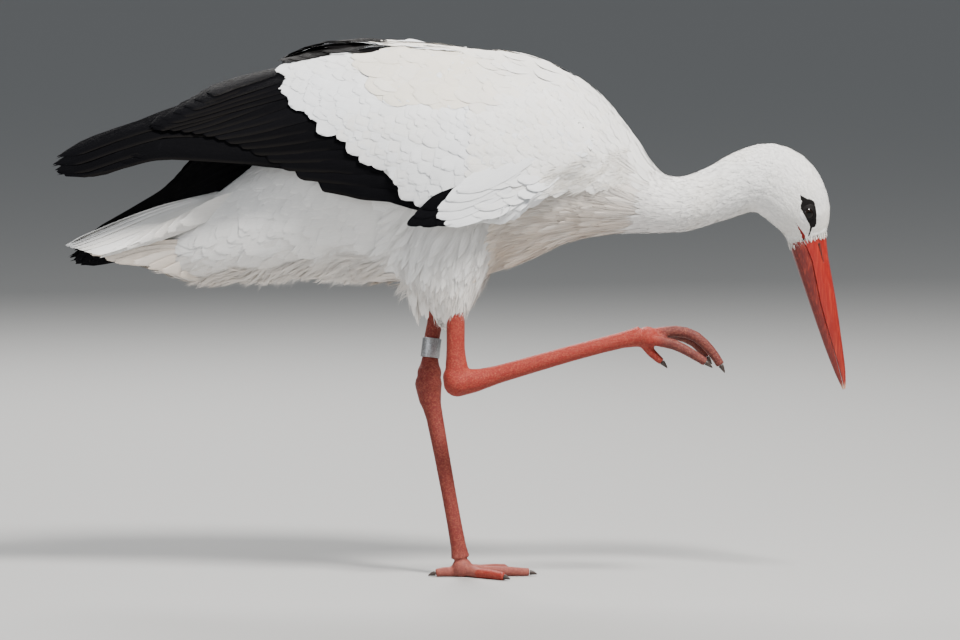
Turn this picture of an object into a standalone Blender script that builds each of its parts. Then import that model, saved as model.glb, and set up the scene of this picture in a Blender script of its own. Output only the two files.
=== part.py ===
"""A life-size white stork (Ciconia ciconia), standing on its left leg with the right leg raised.

The bird faces +X, its left side is +Y and up is +Z. The origin is on the floor, under the ball of
the standing foot. Sections are written in millimetres and turned into metres where they are built.
Outlines are those of the plumage, out to the tips of the feathers.
"""

from math import cos, pi, radians, sin

import bmesh
import bpy
import numpy as np
from mathutils import Vector

MM = 0.001
GAP = 0.4  # between two pieces that touch, in mm
BODY_Y = 2.0  # the bird's middle plane, measured from the standing foot
SIDES = 24  # round the trunk, neck and head
LIMB_SIDES, THIGH_SIDES, TOE_SIDES, CLAW_SIDES = 12, 18, 10, 8

# The body as ovals from the tail coverts to the base of the bill:
# back (x, z), belly (x, z), half the width.
BODY = (
    ((-362, 374), (-362, 356), 10),
    ((-306, 415), (-312, 331), 32),
    ((-238, 465), (-238, 331), 54),
    ((-171, 534), (-171, 334), 70),
    ((-109, 572), (-109, 330), 80),
    ((-36, 590), (-42, 330), 85),
    ((43, 594), (20, 336), 87),
    ((110, 575), (76, 354), 80),
    ((166, 538), (116, 374), 66),
    ((202, 492), (155, 382), 48),
    ((227, 456), (200, 385), 34),
    ((256, 456), (251, 387), 29),
    ((288, 471), (292, 400), 28),
    ((317, 485), (322, 410), 28),
    ((349, 490), (333, 409), 29),
    ((384, 475), (344, 401), 29),
    ((405, 448), (353, 393), 27),
    ((414, 416), (360, 387), 23),
    ((410.5, 388.5), (365.5, 376.5), 16),
)
TRUNK_FROM, NECK_FROM, NECK_MIDDLE, HEAD_FROM = 3, 10, 12, 14  # the ovals where the body is parted

# The bill along its own axis: distance from its base, culmen, gape and lower edge, half the width.
BILL_BASE, BILL_TIP = (388, 382.5), (430, 212)
BILL = (
    (0.8, 21.5, -6, -21.5, 14.5),
    (26, 18, -1.5, -19.5, 12.5),
    (74, 15.2, -3.2, -15, 9.5),
    (124, 10.4, -1.2, -10, 6.4),
    (156, 6.8, 0.2, -5.6, 4),
    (176, 2, 0.2, -1.5, 1.3),
)
EYE_CENTRE, EYE_RADIUS = (387, 18.2, 412), 8.2  # y is measured from the middle plane

# A wing as slices across it: x, then (y, z) of its upper edge, of the middle of its outer face and
# of its lower edge, then its thickness. y is measured outwards from the middle plane.
WING_RIGHT = (
    (146, (46, 514), (60, 501), (68, 484), 3),
    (110, (30, 558), (72, 520), (86, 450), 12),
    (65, (20, 582), (87, 520), (97, 416), 16),
    (5, (14, 595), (95, 520), (103, 399), 17),
    (-36, (12, 600), (95, 525), (103, 401), 17),
    (-66, (12, 601), (92, 532), (102, 420), 15),
    (-160, (14, 591), (76, 543), (95, 449), 9),
    (-250, (24, 566), (66, 530), (87, 470), 6),
    (-340, (38, 533), (63, 511), (76, 484), 5),
    (-400, (44, 508), (62, 488), (69, 464), 4),
    (-456, (48, 480), (56, 467), (60, 454), 2.4),
)
WING_LEFT = (
    (146, (46, 514), (60, 501), (68, 484), 3),
    (110, (30, 558), (72, 520), (86, 450), 12),
    (65, (18, 584), (87, 520), (97, 420), 16),
    (5, (8, 597), (95, 520), (102, 404), 17),
    (-66, (3, 605), (92, 532), (101, 420), 15),
    (-148, (1, 602), (76, 545), (95, 430), 9),
    (-194, (3, 588), (72, 530), (92, 432), 8),
    (-238, (10, 555), (66, 505), (88, 434), 7),
    (-280, (24, 503), (64, 470), (85, 428), 6),
    (-340, (42, 444), (66, 421), (80, 392), 5),
    (-396, (50, 405), (63, 382), (71, 356), 4),
    (-446, (46, 368), (52, 358), (55, 346), 2.4),
)
# Where the white coverts end and the black flight feathers begin, as a line seen from the side.
WING_PARTING = ((-56, 428), (-207, 580))

# The tail, a shallow roof: x, height of the ridge, half the width, fall to the edges, thickness.
TAIL = (
    (-215, 452, 28, 17, 4),
    (-278, 438, 39, 35, 4),
    (-332, 424, 47, 42, 3.5),
    (-372, 409, 50, 45, 3),
    (-412, 391, 42, 30, 2.6),
    (-446, 375, 22, 8, 2.2),
)

# Feathered thighs: x, z, half the length, half the width, and y outwards from the middle plane.
THIGH_RIGHT = (
    (-2, 440, 60, 34, 44),
    (-4, 412, 66, 42, 46),
    (-14, 378, 62, 40, 46),
    (-21, 346, 53, 33, 46),
    (-21, 324, 42, 25, 47),
    (-14, 304, 24, 17, 48),
    (-8, 290, 11, 10, 48),
)
THIGH_LEFT = (
    (-2, 440, 56, 34, 44),
    (-4, 412, 61, 42, 46),
    (-8, 378, 56, 40, 44),
    (-8, 346, 47, 33, 40),
    (-9, 324, 35, 26, 36),
    (-12, 304, 27, 18, 33),
    (-18, 284, 14, 12, 31),
)

# Bare legs: x, y, z and radius at each point. The ankle is the joint between shank and tarsus.
SHANK_RIGHT = ((-7, -50, 288, 10.5), (-7, -50, 262, 10.5), (-6, -50, 243, 12.6), (-5, -50, 233, 15))
TARSUS_RIGHT = (
    (-5, -50, 224, 16),
    (15, -50, 226.5, 13.3),
    (40, -49, 233, 10.4),
    (122, -47, 256.5, 9.1),
    (178, -46, 271, 9.2),
    (199, -45, 275, 12),
)
SHANK_LEFT = ((-31, 31, 283, 9), (-34, 28, 268, 9), (-36, 25, 245, 9.3), (-37, 24, 230, 13.5))
TARSUS_LEFT = (
    (-38, 23, 216, 15.5),
    (-36, 21, 197, 12.5),
    (-31, 19, 178, 9.8),
    (-15, 9, 93, 8.4),
    (-4, 2, 33, 9),
    (-2, 1, 21, 11.5),
)
RING_HEIGHT, RING_WALL, RING_Z = 22, 1, 256.5

# Toes: the points along each and its radius at root and tip. The last point bears the claw.
TOES_RIGHT = {
    "middle": (
        ((208, -43, 276), (238, -42, 281), (261, -42, 275), (279, -41, 258), (289, -41, 243)),
        7.2,
        5,
    ),
    "outer": (((208, -49, 273), (236, -53, 267), (256, -54, 257), (272, -54, 247)), 6.8, 4.8),
    "inner": (((208, -39, 274), (238, -31, 276), (260, -30, 267), (274, -30, 251)), 6.6, 4.6),
    "hind": (((203, -45, 268), (213, -45, 256), (223, -44, 247)), 6, 4.2),
}
TOE_LEFT_AXIS_Z, TOE_LEFT_RADIUS, TOE_LEFT_TIP = 5.4, 6.8, 5.0
TOES_LEFT = {"middle": (2, 76), "outer": (40, 64), "inner": (-38, 60), "hind": (187, 30)}  # degrees, mm
CLAW_LENGTH, CLAW_RADIUS, CLAW_DROP = 8.5, 3.3, 1.6
FOOT_PAD_RIGHT = (207, -45, 274, 12.5)
FOOT_PAD_LEFT = (0, 0, 9.5, 12)

WHITE, WARM_WHITE = (0.86, 0.85, 0.82), (0.83, 0.8, 0.75)
BLACK, RED, DARK_RED = (0.012, 0.012, 0.014), (0.62, 0.1, 0.05), (0.26, 0.07, 0.05)
HORN, IRIS, METAL = (0.05, 0.04, 0.035), (0.02, 0.015, 0.012), (0.55, 0.57, 0.58)


def clear_scene():
    for item in list(bpy.data.objects):
        bpy.data.objects.remove(item, do_unlink=True)


def finish(name, colour, roughness, metallic=0.0):
    """A plain material with one colour."""
    material = bpy.data.materials.get(name) or bpy.data.materials.new(name)
    material.use_nodes = True
    shader = material.node_tree.nodes["Principled BSDF"]
    shader.inputs["Base Color"].default_value = (*colour, 1)
    shader.inputs["Roughness"].default_value = roughness
    shader.inputs["Metallic"].default_value = metallic
    return material


def flat(row):
    """One list of numbers from a row that holds points and numbers."""
    numbers = []
    for entry in row:
        numbers.extend(flat(entry) if isinstance(entry, tuple) else [float(entry)])
    return numbers


def smooth(rows, per_span):
    """Rows of numbers read from a Catmull-Rom curve through the given ones."""
    table = np.array([flat(row) for row in rows])
    ends = np.vstack([2 * table[0] - table[1], table, 2 * table[-1] - table[-2]])
    read = []
    for i in range(len(table) - 1):
        a, b, c, d = ends[i : i + 4]
        for t in np.linspace(0, 1, per_span, endpoint=False):
            tangents = (c - a) * t + (2 * a - 5 * b + 4 * c - d) * t**2 + (3 * b - a - 3 * c + d) * t**3
            read.append(b + tangents / 2)
    read.append(table[-1])
    return np.array(read)


def skin_rings(bm, rings):
    """Joins rings of points into one closed surface, with flat ends."""
    loops = [[bm.verts.new(Vector(point) * MM) for point in ring] for ring in rings]
    for near, far in zip(loops, loops[1:]):
        for i, vert in enumerate(near):
            after = (i + 1) % len(near)
            bm.faces.new((vert, near[after], far[after], far[i]))
    bm.faces.new(reversed(loops[0]))
    bm.faces.new(loops[-1])
    bmesh.ops.recalc_face_normals(bm, faces=bm.faces)


def node(name, bm, material, helper=False, sharp=40):
    """An object from the bmesh. A helper only cuts or joins, and isn't part of the bird."""
    mesh = bpy.data.meshes.new(name)
    bm.to_mesh(mesh)
    bm.free()
    mesh.shade_smooth()
    mesh.set_sharp_from_angle(angle=radians(sharp))
    obj = bpy.data.objects.new(name, mesh)
    bpy.context.scene.collection.objects.link(obj)
    if helper:
        obj.hide_render = True
        obj.display_type = "WIRE"
    else:
        mesh.materials.append(material)
    return obj


def boolean(obj, other, operation="DIFFERENCE"):
    modifier = obj.modifiers.new(operation.lower(), "BOOLEAN")
    modifier.operation = operation
    modifier.solver = "EXACT"
    modifier.object = other


def oval(back, belly, half_width, sides=SIDES, grow=0.0):
    """A ring that stands on the line from belly to back, across the middle plane."""
    top, bottom = Vector((back[0], BODY_Y, back[1])), Vector((belly[0], BODY_Y, belly[1]))
    centre, up = (top + bottom) / 2, (top - bottom) / 2
    up *= 1 + grow / up.length
    out = Vector((0, half_width + grow, 0))
    turns = [2 * pi * i / sides for i in range(sides)]
    return [centre + up * cos(turn) + out * sin(turn) for turn in turns]


def body_rings(first, last, per_span, grow=0.0):
    """The body's rings from one oval of BODY to another."""
    rows = smooth(BODY, per_span)[first * per_span : last * per_span + 1]
    return [oval(row[0:2], row[2:4], row[4], grow=grow) for row in rows]


def shifted(ring, towards, distance):
    """The ring moved a little towards the middle of another one."""
    middle = sum(ring, Vector()) / len(ring)
    step = (sum(towards, Vector()) / len(towards) - middle).normalized() * distance
    return [point + step for point in ring]


def body_piece(name, first, last, material, per_span=2, gap_before=GAP):
    rings = body_rings(first, last, per_span)
    rings[0] = shifted(rings[0], rings[1], gap_before)
    bm = bmesh.new()
    skin_rings(bm, rings)
    return node(name, bm, material)


def body_cutter(name, first, last, grow=GAP):
    """The body a little larger, to keep its neighbours clear of it."""
    bm = bmesh.new()
    skin_rings(bm, body_rings(first, last, 2, grow))
    return node(name, bm, None, helper=True)


def ball(name, centre, radius, material=None, helper=False, sides=16):
    bm = bmesh.new()
    bmesh.ops.create_uvsphere(bm, u_segments=sides, v_segments=sides // 2, radius=radius * MM)
    bmesh.ops.translate(bm, verts=bm.verts, vec=Vector(centre) * MM)
    return node(name, bm, material, helper, sharp=180)


def make_eyes(head, material):
    for side, name in ((-1, "eye_right"), (1, "eye_left")):
        x, y, z = EYE_CENTRE
        centre = (x, BODY_Y + side * y, z)
        ball(name, centre, EYE_RADIUS, material)
        boolean(head, ball("socket_" + name, centre, EYE_RADIUS + GAP, helper=True))


def bill_ring(row, upper):
    """Half an oval of the bill: the upper half over the gape, or the lower half under it."""
    along, culmen, gape, lower, half_width = row
    base, tip = (Vector((x, BODY_Y, z)) for x, z in (BILL_BASE, BILL_TIP))
    axis = (tip - base).normalized()
    over = Vector((-axis.z, 0, axis.x))
    seam = gape + (GAP / 2 if upper else -GAP / 2)
    reach = (culmen if upper else lower) - seam
    turns = [pi * i / 8 for i in range(9)]
    return [
        base + axis * along + over * (seam + reach * sin(turn)) + Vector((0, half_width * cos(turn), 0))
        for turn in turns
    ]


def make_bill(material):
    for name, upper in (("bill_upper", True), ("bill_lower", False)):
        bm = bmesh.new()
        skin_rings(bm, [bill_ring(row, upper) for row in smooth(BILL, 2)])
        node(name, bm, material)


def slice_ring(x, first, middle, last, thickness, across=8):
    """A thin curved slice through three points (y, z) of its outer face, thinner at both edges."""
    a, m, b = (Vector((x, y, z)) for y, z in (first, middle, last))
    bend = 2 * m - (a + b) / 2
    outer, inner = [], []
    for i in range(across + 1):
        t = i / across
        point = a * (1 - t) ** 2 + bend * 2 * t * (1 - t) + b * t**2
        run = (bend - a) * (1 - t) + (b - bend) * t
        inwards = Vector((0, run.z, -run.y)).normalized()
        if inwards.dot(m - (a + b) / 2) > 0:
            inwards.negate()
        outer.append(point)
        inner.append(point + inwards * max(1.2, thickness * sin(pi * (0.12 + 0.76 * t)) ** 0.5))
    return outer + inner[::-1]


def sheet_bmesh(rows, per_span, side=1):
    """A curved sheet from slices, mirrored to the bird's right where side is -1."""
    bm = bmesh.new()
    rings = []
    for row in smooth(rows, per_span):
        x, y0, z0, y1, z1, y2, z2, thickness = row
        points = [(BODY_Y + side * y, z) for y, z in ((y0, z0), (y1, z1), (y2, z2))]
        rings.append(slice_ring(x, *points, thickness))
    skin_rings(bm, rings)
    return bm


def keep_side(bm, point, normal):
    """Cuts the solid with a plane and keeps what lies against the normal."""
    bmesh.ops.bisect_plane(
        bm,
        geom=bm.verts[:] + bm.edges[:] + bm.faces[:],
        dist=1e-7,
        plane_co=Vector(point) * MM,
        plane_no=normal,
        clear_outer=True,
    )
    rim = [edge for edge in bm.edges if edge.is_boundary]
    bmesh.ops.holes_fill(bm, edges=rim, sides=0)
    bmesh.ops.recalc_face_normals(bm, faces=bm.faces)


def make_wing(side_name, side, rows, white, black, cutters):
    """One wing, parted into the covert shield and the flight feathers."""
    (x0, z0), (x1, z1) = WING_PARTING
    backwards = Vector((z0 - z1, 0, x1 - x0)).normalized()
    if backwards.x > 0:
        backwards.negate()
    for part, direction, material in (("coverts", 1, white), ("flight", -1, black)):
        bm = sheet_bmesh(rows, 2, side)
        normal = backwards * direction
        point = Vector((x0, 0, z0)) - normal * (GAP / 2)
        keep_side(bm, point, normal)
        wing = node(f"wing_{side_name}_{part}", bm, material)
        for cutter in cutters:
            boolean(wing, cutter)


def make_tail(white, cutters):
    rows = [
        (x, (-half, ridge - fall), (0, ridge), (half, ridge - fall), thickness)
        for x, ridge, half, fall, thickness in TAIL
    ]
    tail = node("tail", sheet_bmesh(rows, 3), white)
    for cutter in cutters:
        boolean(tail, cutter)


def thigh_rings(rows, side, grow=0.0):
    rings = []
    for x, z, half_length, half_width, y in smooth(rows, 2):
        turns = [2 * pi * i / THIGH_SIDES for i in range(THIGH_SIDES)]
        rings.append(
            [
                Vector(
                    (
                        x + (half_length + grow) * cos(turn),
                        BODY_Y + side * (y + (half_width + grow) * sin(turn)),
                        z,
                    )
                )
                for turn in turns
            ]
        )
    rings[-1] = [point - Vector((0, 0, grow)) for point in rings[-1]]
    return rings


def make_thigh(name, rows, side, material, trunk_cutter):
    """A feathered thigh, and a larger copy of it that keeps the wing and the shank clear."""
    bm = bmesh.new()
    skin_rings(bm, thigh_rings(rows, side))
    boolean(node(name, bm, material), trunk_cutter)
    bm = bmesh.new()
    skin_rings(bm, thigh_rings(rows, side, GAP))
    return node("clearance_" + name, bm, None, helper=True)


def limb_bmesh(points, per_span, sides=LIMB_SIDES, flatten=0.88):
    """A round limb through (x, y, z, radius) points, a little narrower across the bird."""
    rows = smooth(points, per_span)
    bm = bmesh.new()
    rings = []
    for i, row in enumerate(rows):
        centre = Vector(row[:3])
        run = Vector(rows[min(i + 1, len(rows) - 1)][:3]) - Vector(rows[max(i - 1, 0)][:3])
        run.normalize()
        across = Vector((0, 1, 0))
        across = (across - run * across.dot(run)).normalized()
        over = run.cross(across)
        turns = [2 * pi * k / sides for k in range(sides)]
        rings.append(
            [
                centre + over * (row[3] * cos(turn)) + across * (row[3] * flatten * sin(turn))
                for turn in turns
            ]
        )
    skin_rings(bm, rings)
    return bm


def grown(points, by=GAP):
    """The same limb a little thicker, and longer at its far end."""
    end, before = Vector(points[-1][:3]), Vector(points[-2][:3])
    tip = end + (end - before).normalized() * by
    rows = [(*point[:3], point[3] + by) for point in points]
    return (*rows[:-1], (*tip, rows[-1][3]))


def make_limb(name, points, material, cutters=(), per_span=2):
    obj = node(name, limb_bmesh(points, per_span), material)
    for cutter in cutters:
        boolean(obj, cutter)
    return obj


def toe_points(path, root, tip):
    """The toe's centre line, with a radius that falls evenly from root to tip."""
    last = len(path) - 1
    return [(*point, root + (tip - root) * i / last) for i, point in enumerate(path)]


def make_claw(name, points, material):
    """A short claw that carries on from the end of a toe and bends down."""
    end, before = Vector(points[-1][:3]), Vector(points[-2][:3])
    run = (end - before).normalized()
    start = end + run * GAP
    rows = []
    for share, radius in ((0, 1.0), (0.45, 0.72), (0.8, 0.4), (1, 0.18)):
        drop = Vector((0, 0, -CLAW_DROP)) * share**2
        rows.append((*(start + run * (CLAW_LENGTH * share) + drop), CLAW_RADIUS * radius))
    return node(name, limb_bmesh(rows, 1, sides=CLAW_SIDES), material)


def make_foot(side_name, pad, toes, skin, horn, cutters, floor=None):
    """The ball of the foot with its four toes as one solid, and a claw for each toe."""
    x, y, z, radius = pad
    foot = ball(f"foot_{side_name}", (x, y, z), radius, skin, sides=16)
    for toe, points in toes.items():
        branch = node(f"branch_{side_name}_{toe}", limb_bmesh(points, 2, sides=TOE_SIDES), None, helper=True)
        boolean(foot, branch, "UNION")
        make_claw(f"claw_{side_name}_{toe}", points, horn)
    for cutter in cutters:
        boolean(foot, cutter)
    if floor:
        boolean(foot, floor)
    return foot


def left_toes():
    """Toes that lie on the floor and spread from the ball of the foot."""
    toes = {}
    for toe, (angle, length) in TOES_LEFT.items():
        run = Vector((cos(radians(angle)), sin(radians(angle)), 0))
        path = [run * (length * share) + Vector((0, 0, TOE_LEFT_AXIS_Z)) for share in (0.05, 0.4, 0.7, 1)]
        path[0].z, path[-1].z = 8.0, TOE_LEFT_TIP - 0.9
        toes[toe] = toe_points([tuple(point) for point in path], TOE_LEFT_RADIUS, TOE_LEFT_TIP)
    return toes


def make_floor_cutter():
    bm = bmesh.new()
    bmesh.ops.create_cube(bm, size=0.3)
    bmesh.ops.translate(bm, verts=bm.verts, vec=(0, 0, -0.15))
    return node("floor_level", bm, None, helper=True)


def make_leg_ring(material):
    """A metal band round the shank of the standing leg."""
    path = smooth(SHANK_LEFT, 8)
    nearest = min(path, key=lambda row: abs(row[2] - RING_Z))
    centre = Vector((*nearest[:2], RING_Z))
    run = (Vector(path[0][:3]) - Vector(path[-1][:3])).normalized()
    inner = max(row[3] for row in path if abs(row[2] - RING_Z) <= RING_HEIGHT / 2 + 2) + GAP
    bm = bmesh.new()
    start = centre + Vector((inner, 0, -RING_HEIGHT / 2))
    corners = [(0, 0), (RING_WALL, 0), (RING_WALL, RING_HEIGHT), (0, RING_HEIGHT)]
    verts = [bm.verts.new((start + Vector((dx, 0, dz))) * MM) for dx, dz in corners]
    edges = [bm.edges.new((a, b)) for a, b in zip(verts, verts[1:] + verts[:1])]
    bmesh.ops.spin(
        bm,
        geom=verts + edges,
        cent=centre * MM,
        axis=(0, 0, 1),
        angle=2 * pi,
        steps=24,
        use_merge=True,
    )
    turn = Vector((0, 0, 1)).rotation_difference(run).to_matrix()
    bmesh.ops.rotate(bm, verts=bm.verts, cent=centre * MM, matrix=turn)
    bmesh.ops.recalc_face_normals(bm, faces=bm.faces)
    node("leg_ring", bm, material)


def main():
    clear_scene()
    white = finish("plumage_white", WHITE, 0.8)
    soft = finish("plumage_soft", WARM_WHITE, 0.9)
    black = finish("plumage_black", BLACK, 0.45)
    leg_skin = finish("leg_skin", RED, 0.55)
    toe_skin = finish("toe_skin", DARK_RED, 0.6)
    bill_horn = finish("bill_horn", RED, 0.35)
    claw_horn = finish("claw_horn", HORN, 0.4)
    eye_wet = finish("eye", IRIS, 0.1)
    metal = finish("ring_metal", METAL, 0.4, 1.0)

    body_piece("tail_coverts", 0, TRUNK_FROM, soft, gap_before=0)
    body_piece("trunk", TRUNK_FROM, NECK_FROM, white)
    body_piece("neck_lower", NECK_FROM, NECK_MIDDLE, white)
    body_piece("neck_upper", NECK_MIDDLE, HEAD_FROM, white)
    head = body_piece("head", HEAD_FROM, len(BODY) - 1, white)
    make_eyes(head, eye_wet)
    make_bill(bill_horn)

    trunk_room = body_cutter("clearance_trunk", 0, NECK_FROM + 1)
    room_right = make_thigh("thigh_right", THIGH_RIGHT, -1, soft, trunk_room)
    room_left = make_thigh("thigh_left", THIGH_LEFT, 1, soft, trunk_room)
    make_wing("right", -1, WING_RIGHT, white, black, (trunk_room, room_right))
    make_wing("left", 1, WING_LEFT, white, black, (trunk_room, room_left))
    make_tail(white, (trunk_room,))

    room_tarsus = {}
    for side, points in (("right", TARSUS_RIGHT), ("left", TARSUS_LEFT)):
        tarsus = make_limb(f"tarsus_{side}", points, leg_skin)
        x, y, z, radius = points[0]
        boolean(tarsus, ball(f"ankle_{side}", (x, y, z), radius, helper=True), "UNION")
        room = node(f"clearance_tarsus_{side}", limb_bmesh(grown(points), 2), None, helper=True)
        boolean(room, ball(f"clearance_ankle_{side}", (x, y, z), radius + GAP, helper=True), "UNION")
        room_tarsus[side] = room
    make_limb("shank_right", SHANK_RIGHT, leg_skin, (room_right, room_tarsus["right"]))
    make_limb("shank_left", SHANK_LEFT, leg_skin, (room_left, room_tarsus["left"]))
    make_leg_ring(metal)

    toes_right = {toe: toe_points(*row) for toe, row in TOES_RIGHT.items()}
    make_foot("right", FOOT_PAD_RIGHT, toes_right, toe_skin, claw_horn, (room_tarsus["right"],))
    floor = make_floor_cutter()
    make_foot("left", FOOT_PAD_LEFT, left_toes(), leg_skin, claw_horn, (room_tarsus["left"],), floor)


main()
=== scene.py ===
"""The looks of a life-size white stork: one skin, its plumage, bill, eyes, legs and leg ring.

Everything is in metres in the frame of the solids. The bird faces +X and its left side is +Y.
"""

from math import cos, pi, radians, sin

import bmesh
import bpy
import numpy as np
from mathutils import Matrix, Vector
from mathutils.bvhtree import BVHTree


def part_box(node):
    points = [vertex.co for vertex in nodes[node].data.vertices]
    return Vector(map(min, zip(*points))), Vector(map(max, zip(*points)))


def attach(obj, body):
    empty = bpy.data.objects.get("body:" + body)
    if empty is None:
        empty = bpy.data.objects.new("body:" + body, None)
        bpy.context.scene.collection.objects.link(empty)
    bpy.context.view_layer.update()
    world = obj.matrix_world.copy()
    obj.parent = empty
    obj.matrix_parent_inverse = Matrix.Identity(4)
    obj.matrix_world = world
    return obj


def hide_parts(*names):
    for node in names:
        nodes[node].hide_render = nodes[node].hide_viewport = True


MM = 0.001
SIDES = {"right": -1, "left": 1}
rng = np.random.default_rng(11)

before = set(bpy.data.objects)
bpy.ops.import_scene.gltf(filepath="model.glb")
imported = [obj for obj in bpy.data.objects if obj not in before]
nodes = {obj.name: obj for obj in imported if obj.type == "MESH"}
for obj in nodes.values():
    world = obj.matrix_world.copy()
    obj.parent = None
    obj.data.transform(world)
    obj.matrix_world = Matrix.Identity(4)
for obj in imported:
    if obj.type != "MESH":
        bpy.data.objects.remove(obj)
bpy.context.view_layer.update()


def middle_of(name):
    low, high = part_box(name)
    return (low + high) / 2


MIDDLE = middle_of("trunk").y
EYE = {side: middle_of(f"eye_{side}") for side in SIDES}
EYE_RADIUS = (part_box("eye_left")[1].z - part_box("eye_left")[0].z) / 2

# The middle of the bird from the face to the end of the tail, as (x, z) in millimetres.
SPINE = (
    (389, 376), (385, 420), (353, 446), (318, 447), (286, 436), (250, 421), (205, 424),
    (150, 447), (90, 464), (0, 468), (-110, 448), (-238, 398), (-362, 364), (-450, 350),
)

TRUNK_NODES = ("trunk", "tail_coverts", "thigh_right", "thigh_left", "neck_lower")
HEAD_NODES = ("head", "neck_upper")
WING_NODES = {side: (f"wing_{side}_coverts", f"wing_{side}_flight") for side in SIDES}
LEG_NODES = {side: (f"shank_{side}", f"tarsus_{side}", f"foot_{side}") for side in SIDES}

# How deep the skin lies under the outline of the plumage.
COAT_DEPTH = {
    "head": 1.1 * MM,
    "neck_upper": 2 * MM,
    "neck_lower": 3 * MM,
    "trunk": 4 * MM,
    "tail_coverts": 4 * MM,
    "thigh_right": 4 * MM,
    "thigh_left": 4 * MM,
}
WING_DEPTH = 2.2 * MM
HEAD_VOXEL, TRUNK_VOXEL, WING_VOXEL, LEG_VOXEL = 1.3 * MM, 6 * MM, 5 * MM, 1.5 * MM
HORN_VOXEL, CLAW_VOXEL = 0.75 * MM, 0.6 * MM
# The head's skin runs this far down the lower neck. Its end narrows by this share, inside the trunk's.
HEAD_OVERLAP, END_NARROWING = 62 * MM, 0.2
# A leg's skin is smoothed near its joints: wholly this near to both pieces, and not at all past this far.
JOINT_NEAR, JOINT_FAR = 5 * MM, 16 * MM

# The eye looks a little forwards and down. Its lids are turned to the line from the nape to the bill.
EYE_FORWARD, EYE_DOWN, LID_SLANT = 0.2, 0.12, -58
LID_OPENING, LID_CORNER = 31, 14  # degrees from the eye's axis to the lids, and how much more at a corner
PUPIL_EDGE, IRIS_EDGE = (2.6 * MM, 3 * MM), (4.4 * MM, 5.4 * MM)  # how far from the front of the eye

# Marks on the face as strokes seen from the side, in mm: start, end, and half the width at each.
BARE_STROKES = (
    ((378.2, 432), (386.8, 420), 0.4, 7.4),
    ((387.3, 419), (390.6, 409.5), 8.8, 6.6),
    ((390.6, 409.5), (392.8, 399.5), 6.6, 4.3),
    ((391.6, 397.5), (388.6, 386), 1.7, 0.8),
)
NOSTRIL_STROKES = (((400.8, 376), (405.6, 356), 1.5, 0.5),)
GAPE_STROKES = (((373.5, 401), (382.5, 386), 0.3, 1.9), ((382.5, 386), (384, 378), 1.9, 3.0))

WHITE, COOL_WHITE = (0.86, 0.855, 0.84), (0.83, 0.85, 0.875)
# TAN also serves as painted shade: low on the body, on the breast, under the belly and under the tail.
CREAM, TAN = (0.84, 0.79, 0.69), (0.72, 0.58, 0.44)
# The second black is a painted highlight along the flight feathers' lower rims, and a paler tone among the
# black feathers between the wings.
BLACK, BLACK_PALE_AND_EDGE_HIGHLIGHT = (0.004, 0.004, 0.005), (0.011, 0.01, 0.0095)
BARE_BLACK, GAPE_RED = (0.006, 0.005, 0.005), (0.2, 0.015, 0.012)
# The second red is the standing leg's, darker as painted shade.
LEG_RED, LEG_RED_IN_PAINTED_SHADE, TOE_MAUVE = (0.29, 0.014, 0.006), (0.17, 0.011, 0.007), (0.085, 0.018, 0.016)
# The last colour is painted shade in the grooves between the leg's plates.
STANDING_FOOT, PALE_PLATE, GROOVE_PAINTED_SHADE = (0.34, 0.1, 0.08), (0.75, 0.24, 0.13), (0.07, 0.008, 0.006)
DUST = (0.6, 0.3, 0.2)
HORN_STREAK, HORN_SCUFF = (0.75, 0.1, 0.04), (0.75, 0.36, 0.25)
CLAW_DARK, CLAW_WORN = (0.015, 0.011, 0.01), (0.07, 0.045, 0.035)
PUPIL, IRIS_DARK, IRIS_BROWN = (0.002, 0.002, 0.002), (0.003, 0.002, 0.0015), (0.014, 0.008, 0.005)
EYE_RIM = (0.01, 0.008, 0.008)
METAL, METAL_WORN = (0.42, 0.43, 0.45), (0.2, 0.19, 0.18)
FLOOR_GREY, SKY_GREY = (0.37, 0.37, 0.365, 1), (0.5, 0.53, 0.56, 1)


# ---------------------------------------------------------------- small tools


def unit(vectors):
    """The vectors at length 1."""
    return vectors / np.maximum(np.linalg.norm(vectors, axis=-1, keepdims=True), 1e-12)


def curve_through(points):
    """Points read from a Catmull-Rom curve through the given ones, twelve for each span."""
    table = np.array(points, float)
    ends = np.vstack([2 * table[0] - table[1], table, 2 * table[-1] - table[-2]])
    t = np.linspace(0, 1, 12, endpoint=False)[:, None]
    spans = [
        b + ((c - a) * t + (2 * a - 5 * b + 4 * c - d) * t**2 + (3 * b - a - 3 * c + d) * t**3) / 2
        for a, b, c, d in zip(ends, ends[1:], ends[2:], ends[3:])
    ]
    return np.vstack([*spans, table[-1:]])


def ramp(values, low, high):
    """0 below low, 1 above high, and smooth between them."""
    share = np.clip((np.asarray(values, float) - low) / (high - low), 0, 1)
    return share * share * (3 - 2 * share)


def mix(a, b, share):
    """From a to b by the share, one for each row."""
    share = np.asarray(share, float)[..., None]
    return np.asarray(a, float) * (1 - share) + np.asarray(b, float) * share


def varied(count, middle, spread):
    """Numbers round the middle that spread by a share of it."""
    return middle * (1 + spread * rng.uniform(-1, 1, count))


def link(name, mesh):
    obj = bpy.data.objects.new(name, mesh)
    bpy.context.scene.collection.objects.link(obj)
    return obj


def mesh_from(name, bm):
    """A mesh made of the bmesh, which is used up."""
    mesh = bpy.data.meshes.new(name)
    bm.to_mesh(mesh)
    bm.free()
    return mesh


def merged(names):
    """A bmesh of the named solids, with their loose triangles joined up."""
    bm = bmesh.new()
    for name in names:
        bm.from_mesh(nodes[name].data)
    bmesh.ops.remove_doubles(bm, verts=bm.verts, dist=1e-6)
    return bm


def baked(obj):
    """The object with its modifiers applied."""
    graph = bpy.context.evaluated_depsgraph_get()
    mesh = bpy.data.meshes.new_from_object(obj.evaluated_get(graph))
    rough = obj.data
    obj.modifiers.clear()
    obj.data = mesh
    bpy.data.meshes.remove(rough)
    mesh.shade_smooth()
    return obj


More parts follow.
